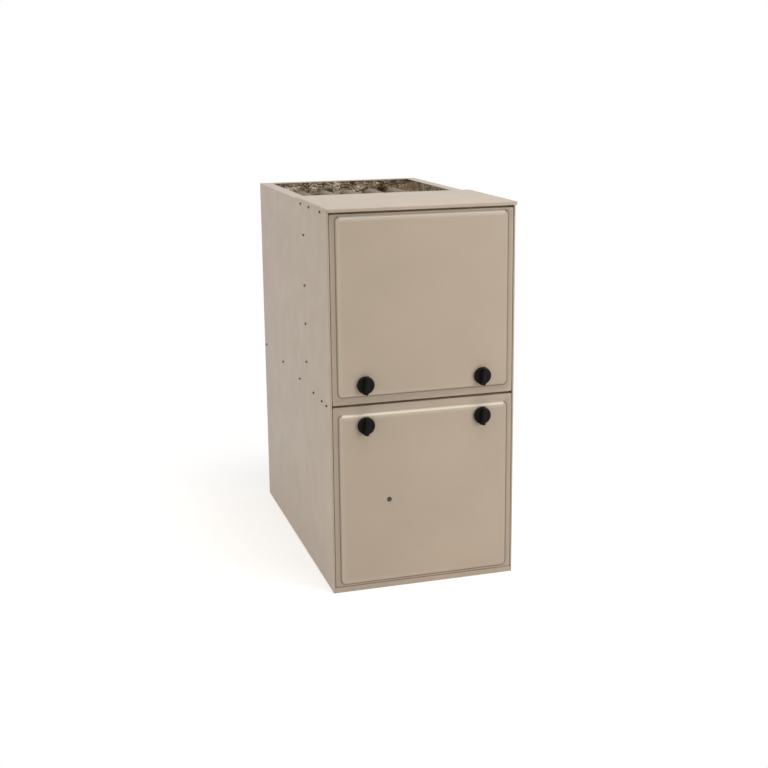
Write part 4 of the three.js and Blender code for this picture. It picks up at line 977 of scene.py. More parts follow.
def bent_route(corners, radius, steps):
    """A flat route with its right-angled corners bent to a radius."""
    route = [Vector(corners[0])]
    for before, corner, after in zip(corners, corners[1:], corners[2:]):
        back = (Vector(before) - Vector(corner)).normalized()
        on = (Vector(after) - Vector(corner)).normalized()
        centre = Vector(corner) + (back + on) * radius
        for step in range(steps + 1):
            angle = math.pi / 2 * step / steps
            point = centre - on * radius * math.cos(angle) - back * radius * math.sin(angle)
            if (point - route[-1]).length > 0.5:
                route.append(point)
    route.append(Vector(corners[-1]))
    return route


def pipe(shape, route, radii, across, sides=24, closed_ends=True):
    """Skins a round section along a flat route; across is the direction square to the route's plane."""
    across = Vector(across)
    rings = []
    for i, point in enumerate(route):
        before = route[max(i - 1, 0)]
        after = route[min(i + 1, len(route) - 1)]
        forward = (after - before).normalized()
        side = forward.cross(across)
        radius = radii[i] if isinstance(radii, (list, tuple)) else radii
        ring = []
        for k in range(sides):
            angle = 2 * math.pi * k / sides
            rim = point + across * radius * math.cos(angle)
            ring.append(metres(*(rim + side * radius * math.sin(angle))))
        rings.append(ring)
    return loft(shape, rings, closed=True, cap_start=closed_ends, cap_end=closed_ends)


def exchanger_tube(index, x):
    bend = (pass_zs[1] - pass_zs[0]) / 2
    corners = [(x, mouth_depth, pass_zs[0]), (x, bend_back, pass_zs[0]), (x, bend_back, pass_zs[1]),
               (x, bend_front, pass_zs[1]), (x, bend_front, pass_zs[2]), (x, bend_back, pass_zs[2]),
               (x, bend_back, pass_zs[3]), (x, mouth_depth, pass_zs[3])]
    # Two corners, each bent to half the distance between the passes, make one bend back.
    route = bent_route(corners, bend, 9)
    shape = bmesh.new()
    outside = pipe(shape, route, tube_radius, (1, 0, 0), closed_ends=False)
    inside = pipe(shape, route[::-1], tube_radius - 1.4, (1, 0, 0), closed_ends=False)
    for outer_ring, inner_ring in ((outside[0], inside[-1]), (outside[-1], inside[0])):
        mouth = outer_ring + inner_ring
        bmesh.ops.bridge_loops(shape, edges=[e for e in shape.edges if e.is_boundary
                                             and all(v in mouth for v in e.verts)])
    outward(shape)
    piece = make_piece(f"exchanger_tube_{index}", shape, aluminised_steel, sharp=60)
    return fit(piece, "cabinet", "aluminised_steel", f"heat_exchanger_tube_{index}")


for index, x in enumerate(tube_xs, 1):
    exchanger_tube(index, x)

# ---- The vestibule panel ----
# A galvanised sheet that parts the burner compartment from the heat exchanger. Each tube is swaged
# into it behind a rolled collar, and self tapping screws hold it to the tubes' row and the casing.
panel_front = 235.0
collar_section = [(19.4, panel_front), (21.6, panel_front), (21.6, 233.9), (20.9, 233.0), (19.4, 232.6)]

galvanised = rolled_metal("galvanised_steel", (186, 187, 184), 0.4, 0.82, spangle=0.1)


def dressed(finish, *names):
    """Gives CAD nodes whose shape is right their material."""
    for name in names:
        coated(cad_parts[name].data, finish)


def closed_lathe(shape, section, centre, axis="y", count=40):
    """Turns a section that closes on itself, such as a ring or a shell with a bore."""
    return lathe(shape, section + section[:1], centre, axis=axis, count=count, cap_start=False,
                 cap_end=False)


def finished(name, shape, finish, body, slot, *nodes, wall=0.0, sharp=40):
    bmesh.ops.remove_doubles(shape, verts=shape.verts, dist=1e-6)
    outward(shape)
    return fit(make_piece(name, shape, finish, wall=wall, sharp=sharp), body, slot, *nodes)


dressed(galvanised, "vestibule_panel")
collar_shape = bmesh.new()
for x in tube_xs:
    for z in (pass_zs[0], pass_zs[3]):
        closed_lathe(collar_shape, collar_section, (x, 0, z))
finished("tube_collars", collar_shape, aluminised_steel, "cabinet", "aluminised_steel")
toward_front = (0, -1, 0)
panel_spots = [((x, panel_front - screw_stand, z), toward_front)
               for x in (-206, 206) for z in (470, 560, 660, 760, 850)]
panel_spots += [((x, panel_front - screw_stand, 506), toward_front) for x in (-96, -32, 32, 96)]
screws("panel_screws", "cabinet", panel_spots)

# ---- The collector box ----
# A shallow pan pressed from aluminised steel, open towards the tubes' upper mouths. A bead runs
# round its face, and a hole leads to the draft inducer that is bolted on it.
collector_half = 152.0
collector_low = 720.0
collector_high = 872.0
collector_front = 189.7
collector_back = 234.7
inducer_z = 760.0
inducer_inlet = 30.0

collector_shape = bmesh.new()
collector_rows = []
collector_profile = filleted([(0, collector_back), (0, collector_front), (13, collector_front)], 6.0,
                             hold=0.6)
collector_profile += filleted([(14, collector_front), (16, collector_front + 1.1),
                               (19, collector_front + 1.1), (21, collector_front)], 1.0, steps=3, hold=0.2)
for inset, depth in collector_profile:
    outline = rounded_loop(-collector_half + inset, collector_half - inset, collector_low + inset,
                           collector_high - inset, [max(10 - inset, 2.5)] * 4)
    collector_rows.append(upright(outline, depth))
hole_ring = []
for p in rounded_loop(-collector_half, collector_half, collector_low, collector_high, [10] * 4):
    towards = Vector((p.x, p.y - inducer_z)).normalized() * inducer_inlet
    hole_ring.append(metres(towards.x, collector_front, inducer_z + towards.y))
loft(collector_shape, collector_rows + [hole_ring], closed=True)
finished("collector_pan", collector_shape, aluminised_steel, "cabinet", "aluminised_steel", "collector_box",
         wall=0.0015)

# ---- The draft inducer ----
# A drum of dark enamelled steel with an outlet neck, bolted on the collector box. A shaded pole
# motor stands on three posts in front of it and turns the wheel inside.
inducer_depth = 159.4
inducer_centre = (0, inducer_depth, inducer_z)
inducer_radius = 62.0
neck_z = 795.5
neck_end = 92.0
motor_front = -80.3
motor_back = -30.3

dark_enamel = painted("dark_enamel", (46, 45, 44), 0.46, coat=0.1)


def box_between(shape, low, high, turned=None):
    """A plain box between two corners in millimetres, for cutting; turned is applied to its corners."""
    corners = [(x, y, z) for x in (low[0], high[0]) for y in (low[1], high[1]) for z in (low[2], high[2])]
    verts = [shape.verts.new(metres(*(turned(Vector(c)) if turned else c))) for c in corners]
    for face in ((0, 1, 3, 2), (4, 6, 7, 5), (0, 4, 5, 1), (2, 3, 7, 6), (0, 2, 6, 4), (1, 5, 7, 3)):
        shape.faces.new([verts[i] for i in face])


def with_boxes(piece, boxes):
    """Adds plain boxes, such as tabs and wings, to a piece that is already made."""
    shape = bmesh.new()
    shape.from_mesh(piece.data)
    for low, high in boxes:
        box_between(shape, low, high)
    outward(shape)
    shape.to_mesh(piece.data)
    shape.free()


def vent_slots(centre, axis, count, radii, along, width):
    """Cutters for a ring of slots through the end of a motor; along is their reach on its axis."""
    cutters = bmesh.new()
    middle = Vector(centre)
    for i in range(count):
        spin = Matrix.Rotation(2 * math.pi * (i + 0.5) / count, 3,
                               Vector((0, 1, 0) if axis == "y" else (1, 0, 0)))
        if axis == "y":
            low, high = (-width / 2, along[0], radii[0]), (width / 2, along[1], radii[1])
        else:
            low, high = (along[0], -width / 2, radii[0]), (along[1], width / 2, radii[1])
        box_between(cutters, low, high, lambda c, spin=spin: middle + spin @ c)
    return cutters


drum_shape = bmesh.new()
drum_profile = [(inducer_inlet, 30), (inducer_radius, 30), (inducer_radius, 4), (inducer_radius + 2, 3),
                (inducer_radius + 2, -1), (inducer_radius, -2), (inducer_radius, -30), (42, -30),
                (39, -28.6), (8, -28.6), (7, -30), (4.6, -30)]
lathe(drum_shape, drum_profile, inducer_centre, count=72, radius=3.2, cap_start=False, cap_end=False)
finished("inducer_drum", drum_shape, dark_enamel, "cabinet", "dark_enamel", "inducer_housing", wall=0.0016)
neck_shape = bmesh.new()
neck_section = [(26.5, 51), (26.5, 84), (27.6, 85.2), (27.6, 87.2), (26.5, 88.4), (26.5, neck_end),
                (25, neck_end), (25, 51)]
closed_lathe(neck_shape, neck_section, (0, inducer_depth, neck_z), axis="x", count=48)
finished("inducer_neck", neck_shape, dark_enamel, "cabinet", "dark_enamel")
can_shape = bmesh.new()
can_profile = [(0.4, motor_front), (13, motor_front), (14, motor_front + 2), (33, motor_front + 3),
               (38, motor_front + 8), (38, motor_front + 19), (37, motor_front + 19.6),
               (37, motor_front + 33), (38, motor_front + 33.6), (38, motor_back - 12),
               (31, motor_back - 7), (19, motor_back - 7), (19, motor_back - 2), (4.5, motor_back),
               (4.5, motor_front + 8), (0.4, motor_front + 8)]
lathe(can_shape, can_profile, inducer_centre, count=64, radius=1.4)
for i in range(3):
    angle = 2 * math.pi * i / 3 + 0.5
    post = (44 * math.sin(angle), inducer_depth, inducer_z + 44 * math.cos(angle))
    post_profile = [(3, motor_back - 1), (3, -50), (6.5, -50), (6.5, -53), (2.5, -53), (0.4, -53)]
    lathe(can_shape, post_profile, post, count=20)
outward(can_shape)
inducer_can = make_piece("inducer_motor_can", can_shape, dark_enamel)
carved(inducer_can, vent_slots(inducer_centre, "y", 14, (19, 30), (motor_front - 2, motor_front + 6), 3.4))
fit(inducer_can, "cabinet", "dark_enamel", "inducer_motor")
dressed(aluminised_steel, "inducer_wheel")
drum_spots = []
for i in range(6):
    angle = math.pi / 3 * i
    spot = (54 * math.cos(angle), 129.4 - screw_stand, inducer_z + 54 * math.sin(angle))
    drum_spots.append((spot, toward_front))
screws("drum_screws", "cabinet", drum_spots)

# ---- The vent elbow ----
# A bend of galvanised pipe with a bead at each end, pushed over the inducer's neck. It carries the
# flue gas up to the vent connection under the top plate.
elbow_x = 132
elbow_mouth_z = 864
elbow_corners = [(92.3, inducer_depth, neck_z), (elbow_x, inducer_depth, neck_z),
                 (elbow_x, inducer_depth, elbow_mouth_z)]
elbow_route = bent_route(elbow_corners, 36, 12)
elbow_line = [elbow_route[0]]
for a, b in zip(elbow_route, elbow_route[1:]):
    parts = max(1, round((b - a).length / 3))
    elbow_line += [a.lerp(b, (i + 1) / parts) for i in range(parts)]
elbow_radii = [26.5 + (1.0 if i in (3, len(elbow_line) - 5) else 0.0) for i in range(len(elbow_line))]
elbow_shape = bmesh.new()
pipe(elbow_shape, elbow_line, elbow_radii, (0, 1, 0), sides=48, closed_ends=False)
finished("vent_bend", elbow_shape, galvanised, "cabinet", "galvanised_steel", "vent_elbow", wall=0.0015)

# ---- The burners ----
# Five in-shot burners of aluminised steel on one bracket. Each is a drawn tube with a bell mouth
# for gas and air, a throat and a flared head, and wings on its head carry the flame to the next.
burner_z = 530.0
burner_front = 89.0
burner_back = 225.0
burner_profile = [(17.6, burner_front), (17.0, burner_front + 1), (10, burner_front + 30),
                  (13, burner_front + 62), (13, burner_back - 16), (16.4, burner_back - 3),
                  (17.4, burner_back)]


def burner_body(index, x):
    shape = bmesh.new()
    lathe(shape, burner_profile, (x, 0, burner_z), count=40, radius=9, steps=6, cap_start=False,
          cap_end=False)
    piece = make_piece(f"burner_tube_{index}", shape, aluminised_steel, wall=0.0013, sharp=50)
    wings = []
    for side in (-1, 1):
        near, far = sorted((x + side * 16.2, x + side * 31.6))
        for low in (burner_z - 3.2, burner_z + 2.2):
            wings.append(((near, burner_back - 11, low), (far, burner_back - 0.5, low + 1)))
    with_boxes(piece, wings)
    return fit(piece, "cabinet", "aluminised_steel", f"burner_{index}")


for index, x in enumerate(tube_xs, 1):
    burner_body(index, x)
dressed(galvanised, "burner_bracket")

# ---- The gas manifold ----
# A steel pipe across the burners, with a hexagonal orifice screwed in before each bell mouth, two
# ears bolted to the bracket and a riser from the gas valve.
manifold_depth = 74.0
manifold_half = 151.3
riser_x = -60.0
manifold_shape = bmesh.new()
manifold_centre = (0, manifold_depth, burner_z)
pipe_profile = [(0.4, -manifold_half), (8, -manifold_half), (11, -manifold_half + 3),
                (11, manifold_half - 3), (8, manifold_half), (0.4, manifold_half)]
lathe(manifold_shape, pipe_profile, manifold_centre, axis="x", count=40, radius=1.0)
for x in tube_xs:
    centre = (x, manifold_depth, burner_z)
    lathe(manifold_shape, [(6.2, 8), (6.2, 12.2), (0.4, 12.2)], centre, count=24, radius=0.5,
          cap_start=False)
    lathe(manifold_shape, [(0.4, 11.8), (5.6, 11.8), (5.6, 15), (4.8, 15.6), (0.4, 15.6)], centre, count=6)
    lathe(manifold_shape, [(3.6, 15.4), (3.4, 17.6), (1.2, 18), (1.0, 16)], centre, count=20)
lathe(manifold_shape, [(13, 0), (13, 12), (9, 13), (9, 26), (11.5, 26.6), (11.5, 34.4), (9, 34.6),
                       (0.4, 34.6)],
      (riser_x, manifold_depth, burner_z), axis="z", count=32, radius=0.6)
for side in (-1, 1):
    xs = sorted((side * manifold_half, side * (manifold_half + 2)))
    box_between(manifold_shape, (xs[0], manifold_depth, burner_z - 10), (xs[1], 215, burner_z + 10))
finished("manifold_pipe", manifold_shape, dark_enamel, "cabinet", "dark_enamel", "gas_manifold")

# ---- The gas valve ----
# A die cast body with a covered regulator on its face, an inlet boss on its left and terminals on
# top. Its red switch slides in a slot of the face.
valve_box = ((-100, -20), (44, 104), (565, 625))
valve_boss = (0, 74, 595.0)
switch_slot = ((-66.3, 40, 602.7), (-47.7, 50, 611.3))
cast_aluminium = rolled_metal("cast_aluminium", (176, 174, 168), 0.5, 0.75)
red_plastic = moulded("red_plastic", (150, 38, 30), 0.4)


def rounded_block(shape, xs, depths, zs, corner=2.0, edge=0.8, both=False):
    """A block with rounded corners and eased edges, which stands out towards the front."""
    front, back = depths
    turn = [math.pi / 2 * i / 4 for i in range(5)]
    ease = [(edge * (1 - math.cos(a)), edge * (1 - math.sin(a))) for a in turn]
    profile = [(inset, back - lift) for inset, lift in reversed(ease)] if both else [(0, back)]
    profile += [(inset, front + lift) for inset, lift in ease]
    rings = []
    for inset, depth in profile:
        outline = rounded_loop(xs[0] + inset, xs[1] - inset, zs[0] + inset, zs[1] - inset,
                               [max(corner - inset, 0.15)] * 4, steps=4, hold=0.1)
        rings.append(upright(outline, depth))
    loft(shape, rings, closed=True, cap_start=True, cap_end=True)


valve_shape = bmesh.new()
rounded_block(valve_shape, *valve_box, corner=8, edge=2.4, both=True)
outward(valve_shape)
valve_body = make_piece("gas_valve_body", valve_shape, cast_aluminium)
slot_cutter = bmesh.new()
box_between(slot_cutter, *switch_slot)
carved(valve_body, slot_cutter)
fit(valve_body, "cabinet", "cast_aluminium", "gas_valve")
boss_shape = bmesh.new()
closed_lathe(boss_shape, [(16, -98), (16, -113), (14.5, -118), (11, -118), (11, -98)], valve_boss,
             axis="x", count=36)
lathe(boss_shape, [(18.5, -99), (18.5, -106), (17.6, -107), (12, -107)], valve_boss, axis="x", count=6,
      cap_start=False, cap_end=False)
for x, z, radius, reach in ((-35, 584, 9, 39.4), (-84, 584, 7, 40.6)):
    lathe(boss_shape, [(radius, 45), (radius, reach + 1), (radius - 1.6, reach), (3, reach),
                       (2.4, reach + 1.6), (0.4, reach + 1.6)], (x, 0, z), count=32)
finished("gas_valve_fittings", boss_shape, cast_aluminium, "cabinet", "cast_aluminium")
dressed(red_plastic, "gas_valve_switch", "rollout_reset_button", "door_switch_plunger")
valve_spots = [((x, 44 - screw_stand, z), toward_front) for x in (-92, -28) for z in (572, 618)]
screws("valve_screws", "cabinet", valve_spots)


def spade_tabs(name, spots, height=8.0):
    """Bare spade terminals; spots are their feet and the way they point, up or to the front."""
    shape = bmesh.new()
    for x, depth, z, way in spots:
        if way == "up":
            box_between(shape, (x - 3.1, depth - 0.4, z), (x + 3.1, depth + 0.4, z + height))
        else:
            box_between(shape, (x - 0.4, depth - height, z - 3.1), (x + 0.4, depth, z + 3.1))
    return finished(name, shape, galvanised, "cabinet", "galvanised_steel")


spade_tabs("valve_terminals", [(x, 90, 624.5, "up") for x in (-84, -70, -56, -42)], height=7.5)

# ---- Igniter, flame sensor and safety switches ----
# Ceramic holders with a rod each seat on the burner bracket. The rollout and limit switches are
# snap discs on plates, and the pressure switch is a black drum with a nipple for its hose.
bracket_front = 201.0
probe_z = 545.0
ceramic = moulded("ceramic", (226, 219, 204), 0.62)
rubber = moulded("rubber", (34, 33, 32), 0.72)


def turned_piece(name, node, slot, finish, profile, centre, axis="y", radius=0.4, count=36):
    shape = bmesh.new()
    lathe(shape, profile, centre, axis=axis, count=count, radius=radius)
    return finished(name, shape, finish, "cabinet", slot, node)


for name, node, x, tip in (("igniter_holder", "igniter", -104.0, 2.5),
                           ("sensor_holder", "flame_sensor", 104.0, 1.5)):
    holder = [(0.3, -28), (4, -28), (6, -24), (6, -14), (5, -13), (5, -11), (6, -10), (6, -0.3), (4, -0.3),
              (4, 5), (tip, 5), (tip, 24), (0.3, 24)]
    turned_piece(name, node, "ceramic", ceramic, holder, (x, bracket_front, probe_z))
rollout = [(0.3, -8), (3.3, -8), (3.3, -16.3), (9, -16.3), (9, -6), (10.5, -5), (10.5, -2.3), (15, -2.3),
           (15, -0.3), (0.3, -0.3)]
turned_piece("rollout_body", "rollout_switch", "black_plastic", black_nylon, rollout,
             (-174.7, panel_front, 600), radius=0.25)
limit = [(0.3, -16), (7.8, -16), (9, -15), (9, -2), (16, -2), (16, -0.3), (8.5, -0.3), (8.5, 28), (6, 30),
         (0.3, 30)]
turned_piece("limit_body", "limit_switch", "black_plastic", black_nylon, limit, (174.7, panel_front, 640))
drum = [(0.3, -43.3), (2.4, -43.3), (3, -42), (2.6, -40), (3, -38), (3, -34.3), (12, -34.3), (12, -32.8),
        (21, -32.8), (29, -26.3), (29, -22), (28, -21.4), (28, -20.6), (29, -20), (29, -16.3), (17, -10.3),
        (17, -0.3), (0.3, -0.3)]
turned_piece("pressure_drum", "pressure_switch", "black_plastic", black_nylon, drum,
             (-185.7, panel_front, 796), radius=0.6, count=56)
spade_tabs("safety_terminals", [(-181, 217, 602, "front"), (-168, 217, 602, "front"),
                                (168, 219.5, 640, "front"), (181, 219.5, 640, "front"),
                                (-196, 203, 808, "front"), (-176, 203, 808, "front")])
hose_points = [Vector(p) for p in ((-185.7, 190.8, 796), (-185.7, 176.8, 796), (-171.7, 155.4, 788),
                                   (-84.6, inducer_depth, inducer_z), (-62.6, inducer_depth, inducer_z))]
hose_line = []
for i in range(4):
    p0, p1, p2, p3 = (hose_points[max(0, min(4, i + k))] for k in (-1, 0, 1, 2))
    for step in range(10):
        t = step / 10
        hose_line.append(0.5 * ((2 * p1) + (p2 - p0) * t + (2 * p0 - 5 * p1 + 4 * p2 - p3) * t * t
                                + (3 * p1 - p0 - 3 * p2 + p3) * t ** 3))
hose_line.append(hose_points[-1])
hose_curve = bpy.data.curves.new("hose", "CURVE")
hose_curve.dimensions = "3D"
hose_curve.bevel_depth = 0.004
hose_curve.bevel_resolution = 5
hose_curve.use_fill_caps = True
hose_spline = hose_curve.splines.new("POLY")
hose_spline.points.add(len(hose_line) - 1)
for place, at in zip(hose_spline.points, hose_line):
    place.co = (*metres(*at), 1)
hose_shell = in_scene("hose", hose_curve)
bpy.context.view_layer.update()
hose_mesh = bpy.data.meshes.new_from_object(hose_shell.evaluated_get(bpy.context.evaluated_depsgraph_get()))
bpy.data.objects.remove(hose_shell)
hose_shape = bmesh.new()
hose_shape.from_mesh(hose_mesh)
finished("pressure_tubing", hose_shape, rubber, "cabinet", "rubber", "pressure_hose", sharp=60)

# ---- The blower housing ----
# A scroll of galvanised sheet between two sides, crimped together along their edges. Each side has
# a curled inlet ring, and a flange by which the blower slides on rails under the deck.
blower_depth = 430.0
blower_z = 205.0
scroll_start = 132.0
scroll_end = 190.0
cutoff = math.radians(100)
outlet_top = 243.7
side_face = 115.0
inlet_radius = 103.0
flange_z = 433.0
flange_reach = 17.0


def scroll_line(steps):
    line = []
    for i in range(steps + 1):
        angle = cutoff + (2 * math.pi - cutoff) * i / steps
        radius = scroll_start + (scroll_end - scroll_start) * i / steps
        line.append(Vector((radius * math.cos(angle), radius * math.sin(angle))))
    return line


def between(a, b, count):
    return [a.lerp(b, i / count) for i in range(1, count)]


scroll = scroll_line(84)
throat_front = Vector((scroll[0].x, outlet_top))
throat_back = Vector((scroll_end, outlet_top))
wrap_line = [throat_front] + between(throat_front, scroll[0], 5) + scroll
wrap_line += between(scroll[-1], throat_back, 9) + [throat_back]
wrap_shape = bmesh.new()
wrap_rows = []
for x in (-114.7, -114.2, 114.2, 114.7):
    wrap_rows.append([metres(x, blower_depth + p.x, blower_z + p.y) for p in wrap_line])
loft(wrap_shape, wrap_rows)
wrap_piece = make_piece("scroll_wrap", wrap_shape, galvanised, wall=0.001, flip=True, sharp=30)
fit(wrap_piece, "cabinet", "galvanised_steel", "blower_wrap")


def blower_side(name, node, side):
    outline = wrap_line + between(throat_back, throat_front, 10)
    rings = []

    def around(x, radius=None, inset=0.0):
        ring = []
        for p in outline:
            reach = p.length - inset if radius is None else radius
            q = p.normalized() * reach
            ring.append(metres(side * x, blower_depth + q.x, blower_z + q.y))
        rings.append(ring)

    for x, inset in ((119.0, 0.0), (118.6, -0.5), (116.4, -0.5), (116.0, 0.6), (116.0, 5.0)):
        around(x, inset=inset)
    for x, radius in ((116.0, 121.0), (117.2, 119.5), (117.2, 117.5), (116.0, 116.0), (116.0, 110.5),
                      (115.6, 108.4), (114.4, 106.2), (112.2, 104.6), (109.0, 103.6),
                      (106.0, inlet_radius)):
        around(x, radius=radius)
    shape = bmesh.new()
    loft(shape, rings, closed=True)
    outward(shape)
    # The skin's outer face looks away from the wheel.
    probe = next(f for f in shape.faces if abs(f.normal.x) > 0.99)
    if probe.normal.x * side < 0:
        bmesh.ops.reverse_faces(shape, faces=shape.faces)
    piece = make_piece(name, shape, galvanised, wall=0.001, sharp=32)
    near, far = sorted((side * 115.2, side * (side_face + flange_reach)))
    with_boxes(piece, [((near, blower_depth + throat_front.x, flange_z),
                        (far, blower_depth + scroll_end, flange_z + 1))])
    return fit(piece, "cabinet", "galvanised_steel", node)


blower_side("blower_cheek_left", "blower_side_left", -1)
blower_side("blower_cheek_right", "blower_side_right", 1)
dressed(galvanised, "blower_rail_left", "blower_rail_right", "blower_deck", "bottom_closure_panel",
        "latch_keeper_left", "latch_keeper_right")
blower_spots = [((side * 124, blower_depth + y, flange_z - screw_stand), (0, 0, -1)) for side in (-1, 1)
                for y in (0, 160)]
screws("blower_screws", "cabinet", blower_spots)

# ---- The blower wheel ----
# A forward curved wheel of galvanised steel. Many narrow blades, cupped in the way of turning, are
# clenched between two end rings and a centre disc, whose hub is clamped on the motor's shaft.
wheel_half = 100.0
blade_inner = 97.0
blade_outer = 118.6
blade_thickness = 0.9
wheel_centre = (0, blower_depth, blower_z)


def blade_mesh():
    """One cupped blade, its section drawn round the wheel's axis, which runs along x here."""
    shape = bmesh.new()
    steps = 6
    line = []
    for i in range(steps + 1):
        t = i / steps
        radius = blade_inner + (blade_outer - blade_inner) * t
        lean = math.radians(9.5) * t * t - math.radians(2.5) * t
        line.append(Vector((radius * math.sin(lean), radius * math.cos(lean))))
    section = []
    for way in (1, -1):
        for i in (range(steps + 1) if way > 0 else range(steps, -1, -1)):
            run = (line[min(i + 1, steps)] - line[max(i - 1, 0)]).normalized()
            section.append(line[i] + Vector((-run.y, run.x)) * (way * blade_thickness / 2))
    rings = [[Vector((x, p.x, p.y)) / 1000 for p in section] for x in (-wheel_half + 0.8, wheel_half - 0.8)]
    loft(shape, rings, closed=True)
    outward(shape)
    mesh = bpy.data.meshes.new("blade")
    shape.to_mesh(mesh)
    shape.free()
    return mesh


def blade_ring_tree():
    tree, given, result = geometry_group("blade_ring", {"Blades": 42, "Depth": 0.0, "Height": 0.0})
    places = add_node(tree, "GeometryNodeMeshLine", {"Count": given["Blades"], "Offset": (0, 0, 0)})
    number = add_node(tree, "GeometryNodeInputIndex")
    step = reckoned(tree, "DIVIDE", 2 * math.pi, given["Blades"])
    angle = reckoned(tree, "MULTIPLY", number.outputs[0], step)
    spin = add_node(tree, "ShaderNodeCombineXYZ", {"X": angle})
    spread = add_node(tree, "GeometryNodeInstanceOnPoints",
                      {"Points": places.outputs[0], "Instance": given["Geometry"],
                       "Rotation": spin.outputs[0]})
    real = add_node(tree, "GeometryNodeRealizeInstances", {"Geometry": spread.outputs[0]})
    where = add_node(tree, "ShaderNodeCombineXYZ", {"Y": given["Depth"], "Z": given["Height"]})
    moved = add_node(tree, "GeometryNodeTransform",
                     {"Geometry": real.outputs[0], "Translation": where.outputs[0]})
    dressed_ring = add_node(tree, "GeometryNodeSetMaterial",
                            {"Geometry": moved.outputs[0], "Material": galvanised})
    tree.links.new(dressed_ring.outputs[0], result.inputs[0])
    return tree


blade_ring = blade_ring_tree()
blades = in_scene("wheel_blades", blade_mesh())
grow = blades.modifiers.new("blades", "NODES")
grow.node_group = blade_ring
middle = metres(*wheel_centre)
grow[socket_id(blade_ring, "Depth")] = middle.y
grow[socket_id(blade_ring, "Height")] = middle.z
plain_copy(blades)
fit(blades, "blower_rotor", "galvanised_steel")
wheel_shape = bmesh.new()
for side in (-1, 1):
    end_ring = [(120, 92), (120, 99.2), (119.2, 100), (97, 100), (96.2, 99.2), (96.2, 97), (97, 97),
                (97.2, 99), (119, 99), (119, 92)]
    closed_lathe(wheel_shape, [(r, side * x) for r, x in end_ring], wheel_centre, axis="x", count=84)
disc = [(14, 0.6), (30, 0.6), (40, 3.4), (60, 3.4), (70, 0.6), (119, 0.6)]
disc_section = [(r, x) for r, x in disc] + [(r, x - 1.2) for r, x in reversed(disc)]
closed_lathe(wheel_shape, disc_section, wheel_centre, axis="x", count=84)
hub_section = [(6.65, -17), (15, -17), (16, -16), (16, 16), (15, 17), (6.65, 17)]
closed_lathe(wheel_shape, hub_section, wheel_centre, axis="x", count=40)
set_screw = [(3.4, 14), (3.4, 19.5), (1.6, 19.5), (1.6, 17.5), (0.3, 17.5)]
lathe(wheel_shape, set_screw, (9, blower_depth, blower_z), axis="z", count=6)
outward(wheel_shape)
finished("wheel_rings", wheel_shape, galvanised, "blower_rotor", "galvanised_steel", "blower_wheel",
         sharp=30)
shaft_shape = bmesh.new()
lathe(shaft_shape, [(0.3, -29), (5.3, -29), (6.35, -28), (6.35, 70), (0.3, 70)], wheel_centre, axis="x",
      count=32)
finished("motor_shaft", shaft_shape, aluminised_steel, "blower_rotor", "aluminised_steel", "blower_shaft")

# ---- The blower motor and its mount ----
# A multi-speed motor in dark enamel with slotted end bells and long through bolts. A belly band
# clamps it, and three arms with rubber grommets carry it on the right side of the blower.
motor_start = 30.0
motor_end = 150.0
band_face = 116.3
bolt_circle = 62
grommet_circle = 112
motor_shape = bmesh.new()
motor_profile = [(6.65, motor_start - 6), (23, motor_start - 6), (24.5, motor_start - 4),
                 (24.5, motor_start), (58, motor_start + 2), (70, motor_start + 12), (70, motor_start + 30),
                 (68.8, motor_start + 31), (68.8, motor_end - 31), (70, motor_end - 30),
                 (70, motor_end - 12), (58, motor_end - 2), (22, motor_end), (20, motor_end - 2.5),
                 (0.4, motor_end - 2.5)]
lathe(motor_shape, motor_profile, wheel_centre, axis="x", count=80, radius=2.2, cap_start=False)
lathe(motor_shape, [(6.65, motor_start - 6), (6.65, 70.3), (0.4, 70.3)], wheel_centre, axis="x", count=80,
      cap_start=False)
bmesh.ops.remove_doubles(motor_shape, verts=motor_shape.verts, dist=1e-6)
outward(motor_shape)
motor_can = make_piece("blower_motor_can", motor_shape, dark_enamel)
carved(motor_can, vent_slots(wheel_centre, "x", 16, (34, 56), (motor_end - 9, motor_end + 4), 5.0))
carved(motor_can, vent_slots(wheel_centre, "x", 16, (34, 56), (motor_start - 4, motor_start + 9), 5.0))
fit(motor_can, "cabinet", "dark_enamel", "blower_motor")
bolt_shape = bmesh.new()
for i in range(4):
    angle = math.pi / 4 + math.pi / 2 * i
    place = (0, blower_depth + bolt_circle * math.cos(angle), blower_z + bolt_circle * math.sin(angle))
    bolt_head = [(4, motor_end - 8), (4, motor_end - 2), (3.4, motor_end - 1.4), (0.3, motor_end - 1.4)]
    lathe(bolt_shape, bolt_head, place, axis="x", count=6)
finished("motor_bolts", bolt_shape, galvanised, "cabinet", "galvanised_steel")
mount_shape = bmesh.new()
band_section = [(70.3, band_face), (72.3, band_face), (72.3, band_face + 20), (70.3, band_face + 20)]
closed_lathe(mount_shape, band_section, wheel_centre, axis="x", count=80)
for i in range(3):
    spin = Matrix.Rotation(2 * math.pi * i / 3, 3, Vector((1, 0, 0)))

    def placed(c, spin=spin):
        return Vector(wheel_centre) + spin @ c

    for low, high in (((band_face, -8, 71.3), (band_face + 2, 8, 118)),
                      ((band_face, -1, 72), (band_face + 9, 1, 112)),
                      ((band_face, -8, 71.8), (band_face + 16, 8, 73.6))):
        box_between(mount_shape, low, high, placed)
finished("motor_band", mount_shape, galvanised, "cabinet", "galvanised_steel", "motor_mount")
grommets = bmesh.new()
for i in range(3):
    angle = 2 * math.pi * i / 3
    at = (0, blower_depth - grommet_circle * math.sin(angle), blower_z + grommet_circle * math.cos(angle))
    lathe(grommets, [(6.5, 118.3), (6.5, 121), (5, 122.2), (2, 122.2), (0.3, 121.4)], at, axis="x",
          count=28)
finished("mount_grommets", grommets, rubber, "cabinet", "rubber")

